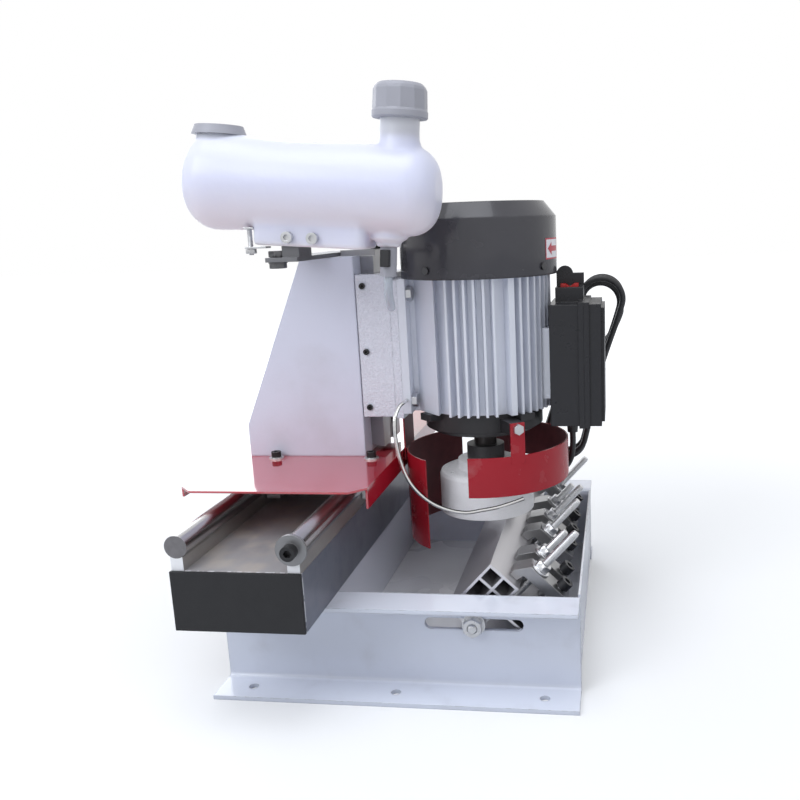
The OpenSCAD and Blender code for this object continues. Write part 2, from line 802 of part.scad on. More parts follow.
module gib_screws() {
    tip = -flank(way_d / 2) - gib_gap - gib_t - 1.6;
    color([0.12, 0.12, 0.13]) for (z = gib_zs) translate([gib_x, head_y, saddle_z + z]) difference() {
        y_cyl(m6_r - 2 * eps, -column_d / 2 - 2, tip);
        translate([0, -column_d / 2 - 3, 0]) rotate([-90, 0, 0]) cylinder(r = 1.7, h = 4, $fn = 6);
    }
}

module foot_bolt_places() {
    for (z = foot_zs, s = [-1, 1]) translate([pad_x, head_y + s * foot_pitch_y / 2, saddle_z + z]) children();
}

module motor_plate() {
    color([0.8, 0.8, 0.83]) difference() {
        translate([plate_x, head_y - column_d / 2, saddle_z - 2])
            cube([motor_plate_t, column_d, fan_z - pass_gap - saddle_z + 2]);
        foot_bolt_places() x_cyl(m8_r + pass_gap, -30, 10);
    }
}

// Thin fins leave room on both sides of a wide rib
function beside_rib(a) = len([for (r = [rib_side, rib_side + 90]) if (abs(a - r) < fin_step - 0.1) r]) > 0;

// Finned housing with its foot, its pad for the switch box and the upper bearing bell
module motor_body() {
    color([0.72, 0.74, 0.78]) difference() {
        union() {
            at_axis() {
                translate([0, 0, fin_z]) linear_extrude(fin_l) union() {
                    circle(r = core_r);
                    for (i = [-fin_side:fin_side]) if (!beside_rib(4 + fin_step * i)) rotate(4 + fin_step * i)
                        translate([core_r - 2, -fin_t / 2]) square([fin_h + 2, fin_t]);
                    polygon(concat([for (i = [0:2]) [neck_line[i][0], -neck_line[i][1]]],
                        [for (i = [2:-1:0]) neck_line[i]]));
                    for (a = [rib_side, rib_side + 90]) rotate(a)
                        translate([core_r - 2, -rib_w / 2]) square([fin_h + 2, rib_w]);
                }
                translate([0, 0, fan_z - eps]) cylinder(r = bell_r, h = bell_h);
            }
            translate([pad_x, head_y - pad_d / 2, fin_z]) cube([foot_t, pad_d, fin_l]);
            translate([pad_x, head_y - pad_d / 2 + 16, fin_z])
                cube([axis_x_off - core_r + 20, pad_d - 32, fin_l]);
            translate([axis_x + core_r - 6, head_y - 28, box_z + 26])
                cube([box_x - axis_x - core_r + 6, 56, box_h - 50]);
        }
        at_axis() {
            translate([0, 0, fin_z - 1]) cylinder(r = stator_r, h = fin_l - 9);
            translate([0, 0, fan_z - 12]) cylinder(r = shaft_d / 2 + 2, h = 60);
            translate([0, 0, fan_z + bell_h - bearing_h]) cylinder(r = bearing_r + eps, h = 40);
        }
        foot_bolt_places() x_cyl(m8_r + pass_gap, -10, foot_t + 5.5);
    }
}

// The black lower bell holds the lower bearing and two ears for the wheel guard
module end_shield() {
    color([0.06, 0.06, 0.07]) at_axis() difference() {
        union() {
            translate([0, 0, shield_z + 5]) cylinder(r = core_r, h = shield_h - 5);
            translate([0, 0, shield_z]) cylinder(r1 = core_r - 8, r2 = core_r, h = 5 + eps);
            for (a = guard_ears) rotate([0, 0, a]) translate([core_r - 6, -ear_w / 2, ear_z])
                cube([guard_r - core_r + 6, ear_w, ear_h]);
            for (i = [0:3]) rotate([0, 0, 90 * i + 45]) translate([core_r - 6, -9, fin_z - 7])
                cube([18, 18, 7]);
        }
        translate([0, 0, shield_z - 1]) cylinder(r = shaft_d / 2 + 2, h = shield_h + 2);
        translate([0, 0, fin_z - bearing_h - 1]) cylinder(r = bearing_r + eps, h = bearing_h + 2);
        for (a = guard_ears) rotate([0, 0, a]) translate([0, 0, ear_z + ear_h / 2])
            x_cyl(m6_r + eps, core_r, guard_r + 1);
    }
}

// Fan cover with a sloping shoulder and rings of air slots in its top
module fan_cover() {
    shoulder = 15;
    top_r = fan_r - 12;
    color([0.06, 0.06, 0.07]) at_axis() translate([0, 0, fan_z]) difference() {
        rotate_extrude() polygon([
            [fan_r - fan_t, 0], [fan_r, 0], [fan_r, fan_h - shoulder], [top_r, fan_h], [0, fan_h],
            [0, fan_h - fan_t], [top_r - 1, fan_h - fan_t], [fan_r - fan_t, fan_h - shoulder - 1]]);
        for (i = [0:11]) rotate([0, 0, 30 * i]) {
            translate([20, -2.5, fan_h - fan_t - 1]) cube([16, 5, fan_t + 2]);
            translate([42, -2.5, fan_h - fan_t - 1]) cube([18, 5, fan_t + 2]);
        }
        for (a = fan_screw_as) rotate([0, 0, a]) translate([0, 0, fan_screw_z])
            x_cyl(2.2, fan_r - fan_t - 1, fan_r + 1);
    }
}

// Hex bolts of the motor foot, screws of the fan cover and bolts of the guard ears
module head_bolts() {
    color([0.7, 0.7, 0.72]) {
        foot_bolt_places() {
            translate([foot_t, 0, 0]) rotate([0, 90, 0]) cylinder(r = 7.4, h = 5.5, $fn = 6);
            x_cyl(m8_r, -motor_plate_t - 14, foot_t + 1);
        }
        at_axis() {
            for (a = fan_screw_as) rotate([0, 0, a]) translate([0, 0, fan_z + fan_screw_z]) {
                x_cyl(3.6, fan_r, fan_r + 2);
                x_cyl(2, fan_r - fan_t, fan_r + 1);
            }
            for (a = guard_ears) rotate([0, 0, a]) translate([0, 0, ear_z + ear_h / 2]) {
                translate([guard_r + guard_t, 0, 0]) rotate([0, 90, 0]) cylinder(r = 5.5, h = 4, $fn = 6);
                x_cyl(m6_r, core_r + 4, guard_r + guard_t + 1);
            }
        }
    }
}

module bearing_ring() {
    difference() {
        cylinder(r = bearing_r, h = bearing_h);
        translate([0, 0, -1]) cylinder(d = shaft_d + 2 * run_fit, h = bearing_h + 2);
    }
}

module motor_bearings() {
    color([0.65, 0.65, 0.68]) at_axis() {
        translate([0, 0, fin_z - bearing_h - 1]) bearing_ring();
        translate([0, 0, fan_z + bell_h - bearing_h]) bearing_ring();
    }
}

// Shaft with the rotor core on it; its lower end steps down to carry the wheel
module spindle_shaft() {
    rotor_z = fin_z + 22;
    color([0.55, 0.55, 0.58]) at_axis() {
        translate([0, 0, wheel_top]) cylinder(d = shaft_d, h = fan_z + 54 - wheel_top);
        translate([0, 0, wheel_top - wheel_back - 16]) cylinder(r = wheel_bore_r, h = wheel_back + 16 + eps);
        translate([0, 0, rotor_z]) cylinder(r = stator_r - 6, h = fin_l - 50);
    }
}

module cooling_fan() {
    fan_in = fan_z + bell_h + 10;
    fan_l = 28;
    color([0.1, 0.1, 0.11]) at_axis() translate([0, 0, fan_in]) difference() {
        union() {
            cylinder(r = shaft_d / 2 + 8, h = fan_l);
            cylinder(r = fan_r - 16, h = 3);
            for (i = [0:6]) rotate([0, 0, 360 * i / 7]) translate([shaft_d / 2 + 4, -1.5, 1])
                cube([fan_r - 34 - shaft_d / 2, 3, fan_l - 2]);
        }
        translate([0, 0, -1]) cylinder(r = shaft_d / 2 + eps, h = fan_l + 2);
    }
}

module wheel_flange() {
    color([0.55, 0.55, 0.57]) at_axis() translate([0, 0, wheel_top]) difference() {
        union() {
            cylinder(r = flange_r, h = flange_t);
            cylinder(r = hub_r, h = flange_t + 16);
        }
        translate([0, 0, -1]) cylinder(r = shaft_d / 2 + eps, h = flange_t + 30);
    }
}

// White cup wheel with a row of blind holes in its back
module grinding_wheel() {
    cup_r = wheel_d / 2 - rim_w;
    edge = 5;
    hole_ring = wheel_d / 2 - 8;
    color([0.93, 0.92, 0.93]) at_axis() translate([0, 0, wheel_z]) difference() {
        rotate_extrude() polygon([
            [wheel_bore_r + eps, wheel_h - wheel_back], [cup_r - 4, wheel_h - wheel_back], [cup_r, 0],
            [wheel_d / 2, 0], [wheel_d / 2, wheel_h - edge], [wheel_d / 2 - 1.5, wheel_h - 1.5],
            [wheel_d / 2 - edge, wheel_h], [wheel_bore_r + eps, wheel_h]]);
        for (i = [0:11]) rotate([0, 0, 30 * i + 10]) translate([hole_ring, 0, wheel_h - 5])
            cylinder(r = 2.4, h = 6);
    }
}

module wheel_nut() {
    color([0.6, 0.6, 0.62]) at_axis() translate([0, 0, wheel_top - wheel_back]) difference() {
        union() {
            translate([0, 0, -3]) cylinder(r = 18, h = 3);
            translate([0, 0, -12]) cylinder(r = 14, h = 9 + eps, $fn = 6);
        }
        translate([0, 0, -20]) cylinder(r = wheel_bore_r + eps, h = 30);
    }
}

// Red band round the right of the wheel, hung on two flat tabs
module guard_band() {
    color([0.72, 0.1, 0.15]) at_axis() difference() {
        union() {
            ring_sheet(guard_r, guard_t, guard_z, guard_z + guard_h, -93, 100);
            for (a = guard_ears) rotate([0, 0, a]) translate([guard_r, -ear_w / 2, guard_z + guard_h - 8])
                cube([guard_t, ear_w, ear_z + ear_h - guard_z - guard_h + 8]);
        }
        for (a = guard_ears) rotate([0, 0, a]) translate([0, 0, ear_z + ear_h / 2])
            x_cyl(m6_r + pass_gap, guard_r - 1, guard_r + guard_t + 1);
    }
}

// Tall red sheet round the left of the wheel, folded to a flange under the saddle
module splash_sheet() {
    tab_w = 40;
    tab_x = column_right + way_d + 3;
    wall_x = axis_x - splash_r - guard_t;
    color([0.72, 0.1, 0.15]) {
        at_axis() ring_sheet(splash_r, guard_t, splash_z, splash_top, 118, 232);
        translate([wall_x, head_y - tab_w / 2, splash_top - 12])
            cube([guard_t, tab_w, saddle_z - splash_top + 12]);
        translate([tab_x, head_y - tab_w / 2, saddle_z - guard_t])
            cube([wall_x - tab_x + eps, tab_w, guard_t]);
    }
}

// Thin bright pipe from the motor foot, in front of the wheel, to a nozzle at its rim
module coolant_tube() {
    start = [pad_x + foot_t / 2, head_y - pad_d / 2, saddle_z + foot_zs[0] + 1];
    shift = start - tube_path[0];
    color([0.75, 0.75, 0.76]) tube(smooth([for (p = tube_path) p + shift], 4), tube_r, 8);
}

// Black switch box on the motor, with a hood behind the switch on its top
module switch_box() {
    color([0.07, 0.07, 0.08]) difference() {
        union() {
            translate([box_x, box_y - box_d / 2, box_z]) cube([box_w, box_d, box_h]);
            translate([rocker_x - switch_w / 2, box_y - switch_d / 2, box_top - eps])
                cube([switch_w, switch_d, switch_h]);
            translate([rocker_x - switch_w / 2, box_y + switch_d / 2 - hood_t, box_top])
                cube([switch_w, hood_t, hood_h]);
            translate([rocker_x - 5.5, box_y + switch_d / 2, box_top + hood_h - 1]) y_cyl(hood_r, -hood_t, 0);
            translate([box_x + box_w - rim_l, box_y - box_d / 2 - rim_out, box_z - rim_out])
                cube([rim_l, box_d + 2 * rim_out, box_h + 2 * rim_out]);
        }
        translate([box_x + wall, box_y - box_d / 2 + wall, box_z + wall])
            cube([box_w, box_d - 2 * wall, box_h - 2 * wall]);
        translate([rocker_x - rocker_w / 2 - pass_gap, box_y - rocker_d / 2 - pass_gap, box_top - wall - 1])
            cube([rocker_w + 2 * pass_gap, rocker_d + 2 * pass_gap, switch_h + 10]);
        translate([rocker_x, box_y, rocker_z]) y_cyl(rocker_pin_r + run_fit, -rocker_d, rocker_d);
        translate([gland_xyz[0], gland_xyz[1], box_z - 1]) cylinder(r = gland_r - 2, h = wall + 2);
    }
}

module box_cover() {
    color([0.1, 0.1, 0.11]) translate([box_x + box_w, box_y - box_d / 2, box_z]) difference() {
        union() {
            cube([box_cover_w - 3, box_d, box_h]);
            translate([0, -rim_out, -rim_out]) cube([rim_l, box_d + 2 * rim_out, box_h + 2 * rim_out]);
            translate([box_cover_w - 3 - eps, 4, 4]) cube([3, box_d - 8, box_h - 8]);
        }
        translate([-1, wall, wall]) cube([box_cover_w - wall - 2, box_d - 2 * wall, box_h - 2 * wall]);
    }
}

// Rocker with a raised end on each side of its pin
module rocker_switch() {
    color([0.75, 0.05, 0.05]) translate([rocker_x, box_y, rocker_z]) {
        prism(rocker_d) polygon([
            [-rocker_r, -2], [-rocker_r, 8], [-rocker_r + 4, 8], [0, 5], [rocker_r - 4, 8], [rocker_r, 8],
            [rocker_r, -2], [3, -5], [-3, -5]]);
        y_cyl(rocker_pin_r, -rocker_d / 2 - 5, rocker_d / 2 + 5);
    }
}

module cord_gland() {
    color([0.05, 0.05, 0.06]) translate([gland_xyz[0], gland_xyz[1], box_z]) difference() {
        union() {
            translate([0, 0, -gland_h]) cylinder(r1 = gland_r - 1.5, r2 = gland_r, h = gland_h);
            cylinder(r = gland_r - 2 - pass_gap / 2, h = wall + 3);
        }
        translate([0, 0, -gland_h - 1]) cylinder(d = cord_d + 2 * eps, h = gland_h + 10);
    }
}

// The spare cord is wound into a hank of long loops, side by side, drawn in a little at the waist.
// Each turn starts at the bottom, goes up on the left, over the top and down on the right.
function hank_bow(z) = let (s = 2 * z / hank_run) hank_waist * (1 - s * s) * (1 - s * s);
function hank_fold(a, r, z) = [r * cos(a), z + r * sin(a)];
function hank_turn(k, r) = let (h = hank_run / 2, q = hank_fold_n / 2, up = q + hank_run_n,
    over = up + hank_fold_n, down = over + hank_run_n)
    k < q ? hank_fold(270 - 90 * k / q, r, -h)
    : k < up ? let (z = -h + hank_run * (k - q) / hank_run_n) [hank_bow(z) - r, z]
    : k < over ? hank_fold(180 - 180 * (k - up) / hank_fold_n, r, h)
    : k < down ? let (z = h - hank_run * (k - over) / hank_run_n) [r - hank_bow(z), z]
    : hank_fold(360 - 90 * (k - down) / q, r, -h);
function hank_point(i) = let (t = i / hank_turn_n,
    p = hank_turn(i % hank_turn_n, hank_r + hank_loose * sin(200 * t)),
    z0 = p[1] + 2 * hank_loose * sin(130 * t), x = p[0] * cos(hank_tilt) + z0 * sin(hank_tilt),
    y = hank_step * (i - hank_first) / hank_turn_n, z = z0 * cos(hank_tilt) - p[0] * sin(hank_tilt))
    hank_mid + [x, y * cos(hank_lean) - z * sin(hank_lean), y * sin(hank_lean) + z * cos(hank_lean)];
function straight_end(p, q) = p + cord_d * unit(p - q);
hank_loops = [for (i = [hank_first:hank_last]) hank_point(i)];
hank_n = len(hank_loops);
hank_path = concat([straight_end(hank_loops[0], hank_loops[1])], hank_loops,
    [straight_end(hank_loops[hank_n - 1], hank_loops[hank_n - 2])]);

// Least clear gap between two stretches of the hank, measured on its points
hank_far = 10;
hank_gap = min([for (i = [0:hank_n - 1 - hank_far], j = [i + hank_far:hank_n - 1])
    norm(hank_loops[i] - hank_loops[j])]) - cord_d;
echo(hank_gap = hank_gap);

module cord_hank() {
    color([0.05, 0.05, 0.06]) tube(hank_path, cord_d / 2, 6);
}

// Free cord: a bow from the gland down and up into the hank, and a short run from the hank to the plug
lead_top = gland_xyz - [0, 0, gland_h + lead_straight];
lead_end = hank_path[0];
lead_path = concat([gland_xyz - [0, 0, gland_h + eps]],
    [for (a = [0:30:150]) let (f = (1 - cos(a)) / 2, side = lead_end - lead_top)
        lead_top + [side[0] * f, side[1] * f, side[2] * a / 180 - lead_drop * sin(a)]],
    [for (g = [2 * lead_in, lead_in, pass_gap]) lead_end + g * unit(lead_end - hank_path[1])]);
module cord_lead() {
    color([0.05, 0.05, 0.06]) tube(smooth(lead_path, 3), cord_d / 2, 8, [1, 0, 0.1]);
}

tail_start = hank_path[hank_n + 1];
tail_dir = unit(tail_start - hank_path[hank_n]);
plug_at = tail_start + [-34, 22, -82];
tail_path = [tail_start + pass_gap * tail_dir, tail_start + 8 * tail_dir, tail_start + [-7, 6, -24],
    tail_start + [-17, 13, -40], tail_start + [-27, 18, -54], plug_at + [0.5, 0, 12], plug_at + [0, 0, eps]];
module cord_tail() {
    color([0.05, 0.05, 0.06]) tube(smooth(tail_path, 3), cord_d / 2, 8, [0, 1, 0.1]);
}

// Tapered plug that hangs from the cord, with two flat pins and an earth pin
module power_plug() {
    boot_h = 22;
    body_h = 14;
    pin_l = 17;
    color([0.06, 0.06, 0.07]) translate(plug_at) mirror([0, 0, 1]) {
        cylinder(r1 = cord_d / 2 + 1.5, r2 = plug_r - 1, h = boot_h);
        translate([0, 0, boot_h - eps]) cylinder(r = plug_r, h = body_h);
        translate([0, 0, boot_h + body_h - 2 * eps]) {
            for (x = [-6.5, 6.5]) translate([x - 0.8, -3, 0]) cube([1.6, 6, pin_l]);
            translate([0, 8, 0]) cylinder(r = 2.2, h = pin_l + 2);
        }
    }
}

// A plastic clip on the back of the box, whose band holds the hank at its waist
module cord_tie() {
    half = hank_r - hank_waist + hank_loose + cord_d / 2 + pass_gap;
    deep0 = -cord_d / 2 - pass_gap;
    deep1 = hank_step * (hank_last - hank_first) / hank_turn_n + cord_d / 2 + pass_gap;
    box_back = box_y + box_d / 2;
    color([0.1, 0.1, 0.11]) {
        translate(hank_mid) rotate([hank_lean, 0, 0]) rotate([0, hank_tilt, 0]) difference() {
            translate([-half - tie_t, deep0 - tie_t, -tie_w / 2])
                cube([2 * (half + tie_t), deep1 - deep0 + 2 * tie_t, tie_w]);
            translate([-half, deep0, -tie_w]) cube([2 * half, deep1 - deep0, 2 * tie_w]);
        }
        translate([hank_mid[0] - 12, box_back, hank_mid[2] - tie_w / 2])
            cube([11, hank_mid[1] + deep0 - tie_t / 2 - box_back, tie_w]);
    }
}

// One hollow of the knife rail, between two places down the face and two heights
module cell(u0, u1, t0, t1) {
    translate([u0, t0]) square([u1 - u0, t1 - t0]);
}

// Hollow extruded bar: a knife face, a deep body on the pivot bolts and a ledge for the clamps
module knife_rail() {
    mid = face_w / 2;
    face_t = 2.6;
    row_1 = 16;
    row_2 = 38;
    ledge_top = -ledge_drop;
    ledge_low = ledge_top - ledge_t;
    slot_half = stud_d / 2 + pass_gap;
    head_half = tee_w / 2 + pass_gap;
    color([0.75, 0.75, 0.77]) in_rail() difference() {
        prism(knife_rail_l) difference() {
            union() {
                translate([0, -rail_depth]) square([face_w, rail_depth]);
                translate([face_w - eps, ledge_low]) square([ledge_w, ledge_t]);
            }
            for (row = [[-row_1, -face_t], [-row_2, -row_1 - hollow_t]]) {
                cell(hollow_t, mid - hollow_t / 2, row[0], row[1]);
                cell(mid + hollow_t / 2, face_w - hollow_t, row[0], row[1]);
            }
            cell(hollow_t, pivot_u - pivot_d - hollow_t, hollow_t - rail_depth, -row_2 - hollow_t);
            cell(stud_u - slot_half, stud_u + slot_half, tee_z, ledge_top + 1);
            cell(stud_u - head_half, stud_u + head_half, tee_z - 1, tee_z + tee_h);
            cell(stud_u + head_half + 3, face_w + ledge_w - hollow_t, ledge_low + hollow_t,
                ledge_top - hollow_t);
        }
        for (s = [0, 1]) mirror([0, s, 0]) translate([pivot_u, 0, pivot_t])
            y_cyl(pivot_d / 2 + run_fit, -knife_rail_l, -knife_rail_l / 2 + bolt_in);
    }
}

// Bolts through the slots of both channels; the bar turns on them and moves with them
module pivot_bolts() {
    nut = 8;
    color([0.7, 0.7, 0.72]) in_rail() translate([pivot_u, 0, pivot_t]) for (s = [0, 1]) mirror([0, s, 0]) {
        y_cyl(pivot_d / 2, -web_out - washer_t - nut - 2, -knife_rail_l / 2 + bolt_in - 1);
        difference() {
            union() {
                y_cyl(washer_r + 1, -web_out - washer_t - pass_gap / 4, -web_out - pass_gap / 4);
                translate([0, -web_out - washer_t - pass_gap / 4, 0]) rotate([90, 0, 0])
                    cylinder(r = 9.5, h = nut, $fn = 6);
            }
            y_cyl(pivot_d / 2 + eps, -web_out - 40, -web_out + 10);
        }
    }
}

module clamp_studs() {
    color([0.7, 0.71, 0.73]) in_rail() for (i = [0:len(clamp_ys) - 1]) translate([stud_u, clamp_ys[i], 0]) {
        translate([0, 0, tee_z + tee_h / 2]) cube([tee_w, tee_w, tee_h], center = true);
        translate([0, 0, tee_z]) cylinder(d = stud_d, h = stud_tops[i] - tee_z);
    }
}

module clamp_nuts() {
    seat = strap_top + pass_gap / 4;
    color([0.72, 0.73, 0.75]) in_rail() for (y = clamp_ys) translate([stud_u, y, seat]) difference() {
        union() {
            cylinder(r = washer_r, h = washer_t);
            translate([0, 0, washer_t - eps]) cylinder(r = nut_r, h = nut_h, $fn = 6);
        }
        translate([0, 0, -1]) cylinder(d = stud_d + 2 * eps, h = 20);
    }
}

// Clamp strap with a chamfered nose, and the black screw through its heel that sets its level
module clamp(i) {
    color([0.55, 0.55, 0.56]) in_rail() translate([0, clamp_ys[i], 0]) {
        difference() {
            prism(strap_w) polygon([
                [nose_u, pass_gap], [nose_u + 8, pass_gap], [nose_u + 10, strap_lift],
                [heel_u + 10, strap_lift], [heel_u + 10, strap_top], [nose_u + 9, strap_top],
                [nose_u, pass_gap + 6]]);
            translate([stud_u, 0, 0]) cylinder(d = stud_d + 2 * pass_gap, h = 40);
            translate([heel_u, 0, 0]) cylinder(r = m8_r + eps, h = 40);
        }
        translate([heel_u, 0, strap_top + 2]) socket_screw(m8_r, m8_head_r, m8_head_h, heel_screw_l);
    }
}
module clamp_1() { clamp(0); }
module clamp_2() { clamp(1); }
module clamp_3() { clamp(2); }
module clamp_4() { clamp(3); }
module clamp_5() { clamp(4); }
module clamp_6() { clamp(5); }

front_channel();
rear_channel();
coolant_tray();
rail_beam();
beam_caps();
rail_strips();
guide_rails();
rail_stops();
carriage_plate();
bearing_blocks();
carriage_cover();
cover_screws();
column();
dovetail_way();
feed_screw();
feed_handwheel();
tank_bracket();
coolant_tank();
tank_screws();
filler_cap();
vent_lid();
drain_valve();
valve_tap();
coolant_hose();
saddle();
gib_strip();
gib_screws();
motor_plate();
motor_body();
end_shield();
fan_cover();
head_bolts();
motor_bearings();
spindle_shaft();
cooling_fan();
wheel_flange();
grinding_wheel();
wheel_nut();
guard_band();
splash_sheet();
coolant_tube();
switch_box();
box_cover();
rocker_switch();
cord_gland();
cord_lead();
cord_hank();
cord_tail();
cord_tie();
power_plug();
knife_rail();
pivot_bolts();
clamp_studs();
clamp_nuts();
clamp_1();
clamp_2();
clamp_3();
clamp_4();
clamp_5();
clamp_6();
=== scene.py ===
import math

import bmesh
import bpy
from mathutils import Matrix, Vector


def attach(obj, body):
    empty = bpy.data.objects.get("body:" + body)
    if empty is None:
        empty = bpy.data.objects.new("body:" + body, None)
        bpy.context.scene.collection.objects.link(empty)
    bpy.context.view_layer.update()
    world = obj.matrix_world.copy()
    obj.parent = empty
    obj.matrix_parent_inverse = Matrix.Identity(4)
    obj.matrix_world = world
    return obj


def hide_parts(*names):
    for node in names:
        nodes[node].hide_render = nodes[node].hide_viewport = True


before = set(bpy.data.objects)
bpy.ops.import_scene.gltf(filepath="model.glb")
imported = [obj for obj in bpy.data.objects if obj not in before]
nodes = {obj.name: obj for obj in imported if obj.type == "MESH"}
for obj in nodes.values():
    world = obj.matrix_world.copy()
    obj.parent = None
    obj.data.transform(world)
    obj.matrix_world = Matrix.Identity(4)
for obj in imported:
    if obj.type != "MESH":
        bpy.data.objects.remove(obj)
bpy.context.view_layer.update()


# Studio: a pale floor that turns white away from the machine, and a white surround.
# Large soft lamps stand left, right and over the machine, and the camera stands where the photographer stood.
class Shade:
    """One socket of a material. Sums on it add Math nodes."""

    def __init__(self, tree, socket=None):
        self.tree = tree
        self.socket = socket

    def node(self, kind, settings=(), inputs=(), out=0):
        made = self.tree.nodes.new("ShaderNode" + kind)
        for key, value in dict(settings).items():
            if key == "stops":
                stops = made.color_ramp.elements
                while len(stops) < len(value):
                    stops.new(0.5)
                for stop, (place, colour) in zip(stops, value):
                    stop.position = place
                    stop.color = (*colour, 1)
            else:
                setattr(made, key, value)
        for key, value in dict(inputs).items():
            if isinstance(value, Shade):
                self.tree.links.new(value.socket, made.inputs[key])
            else:
                made.inputs[key].default_value = value
        return Shade(self.tree, made.outputs[out])

    def sum(self, operation, first, second):
        return self.node("Math", {"operation": operation}, {0: first, 1: second})

    def __add__(self, other):
        return self.sum("ADD", self, other)

    def __radd__(self, other):
        return self.sum("ADD", other, self)

    def __sub__(self, other):
        return self.sum("SUBTRACT", self, other)

    def __rsub__(self, other):
        return self.sum("SUBTRACT", other, self)

    def __mul__(self, other):
        return self.sum("MULTIPLY", self, other)

    def __rmul__(self, other):
        return self.sum("MULTIPLY", other, self)

    def larger(self, other):
        return self.sum("MAXIMUM", self, other)

    def step(self, low, high):
        """0 below low, 1 above high and a soft rise between."""
        return self.node("MapRange", {"interpolation_type": "SMOOTHSTEP"}, {0: self, 1: low, 2: high})

    def mix(self, none, full):
        """The colour none where this value is 0, and full where it is 1."""
        ends = [c if isinstance(c, Shade) else (*c, 1) for c in (none, full)]
        return self.node("Mix", {"data_type": "RGBA"}, {0: self, 6: ends[0], 7: ends[1]}, out=2)


class Finish(Shade):
    """A material of one surface, with the patterns that its look is mixed from."""

    def __init__(self, name, colour, rough, metal=0.0, **fixed):
        self.material = bpy.data.materials.new(name)
        self.material.use_nodes = True
        super().__init__(self.material.node_tree)
        self.shader = self.tree.nodes["Principled BSDF"]
        self.set(Base_Color=colour, Roughness=rough, Metallic=metal, **fixed)

    def set(self, **sockets):
        for key, value in sockets.items():
            socket = self.shader.inputs[key.replace("_", " ")]
            if isinstance(value, Shade):
                self.tree.links.new(value.socket, socket)
            else:
                socket.default_value = (*value, 1) if "Color" in key else value
        return self

    def place(self, stretch=(1, 1, 1)):
        where = self.node("TexCoord", out="Object")
        return self.node("Mapping", {}, {"Vector": where, "Scale": stretch})

    def noise(self, scale, detail=2.0, stretch=(1, 1, 1)):
        return self.node("TexNoise", {}, {"Vector": self.place(stretch), "Scale": scale, "Detail": detail})

    def cells(self, scale, stretch=(1, 1, 1)):
        return self.node("TexVoronoi", {}, {"Vector": self.place(stretch), "Scale": scale})

    def along(self, axis):
        return self.node("SeparateXYZ", {}, {0: self.node("TexCoord", out="Object")}, out="XYZ".index(axis))

    def facing(self, axis):
        return self.node("SeparateXYZ", {}, {0: self.node("TexCoord", out="Normal")}, out="XYZ".index(axis))

    def rounded(self, radius):
        return self.node("Bevel", {"samples": 4}, {"Radius": radius})

    def edges(self, radius):
        """About 1 on the sharp corners of the piece and 0 on its flats."""
        flat = self.node("NewGeometry", out="Normal")
        turned = self.node("VectorMath", {"operation": "DOT_PRODUCT"}, {0: self.rounded(radius), 1: flat},
                           out="Value")
        return (1 - turned).step(0.04, 0.22)

    def relief(self, height, depth, corner=0.0, strength=1.0):
        """Raise the surface by depth where height is 1, with corners rounded to the radius given."""
        inputs = {"Height": height, "Distance": depth, "Strength": strength}
        if corner:
            inputs["Normal"] = self.rounded(corner)
        return self.set(Normal=self.node("Bump", {}, inputs))


def lamp(name, place, aim, size, watts, colour=(1, 1, 1)):
    data = bpy.data.lights.new(name, "AREA")
    data.shape, data.size, data.energy, data.color = "DISK", size, watts, colour
    made = bpy.data.objects.new(name, data)
    made.location = place
    made.rotation_euler = (Vector(aim) - Vector(place)).to_track_quat("-Z", "Y").to_euler()
    bpy.context.scene.collection.objects.link(made)


scene = bpy.context.scene
scene.view_settings.view_transform = "Standard"
sky = (0.9, 0.94, 1.0)
lamp("key_lamp", (-1.1, -1.5, 1.5), (0.0, 0.0, 0.25), 1.2, 16, sky)
lamp("right_lamp", (1.7, -0.9, 1.3), (0.05, 0.0, 0.35), 1.0, 3, sky)
lamp("top_lamp", (-0.1, -0.5, 2.0), (0.0, 0.0, 0.2), 1.4, 14, sky)
lamp("rear_lamp", (-1.25, 1.75, 0.75), (-0.15, -0.1, 0.2), 1.6, 11, sky)

world = bpy.data.worlds.new("surround")
world.use_nodes = True
scene.world = world
surround = Shade(world.node_tree)
to_camera, to_gloss, through = (surround.node("LightPath", out=f"Is {kind} Ray")
                                for kind in ("Camera", "Glossy", "Transmission"))
seen = to_camera.larger(to_gloss).larger(through)
back = world.node_tree.nodes["Background"]
world.node_tree.links.new(seen.mix((0.54, 0.56, 0.595), (1, 1, 1)).socket, back.inputs["Color"])

floor_mesh = bpy.data.meshes.new("floor")
reach = 9
floor_mesh.from_pydata([(-reach, -reach, 0), (reach, -reach, 0), (reach, reach, 0), (-reach, reach, 0)],
                       [], [(0, 1, 2, 3)])
floor = bpy.data.objects.new("floor", floor_mesh)
scene.collection.objects.link(floor)
floor_paper = Finish("floor_paper", (0.78, 0.78, 0.78), 0.9, Emission_Strength=1.0, Specular_IOR_Level=0.0)
in_view = floor_paper.node("LightPath", out="Is Camera Ray")
from_machine = floor_paper.node("VectorMath", {"operation": "LENGTH"},
                                {0: floor_paper.node("TexCoord", out="Object")}, out="Value")
whiter = in_view * (0.3 + 0.7 * from_machine.step(0.25, 2.0))
floor_paper.set(Emission_Color=whiter.mix((0, 0, 0), (0.75, 0.75, 0.75)))
floor_mesh.materials.append(floor_paper.material)

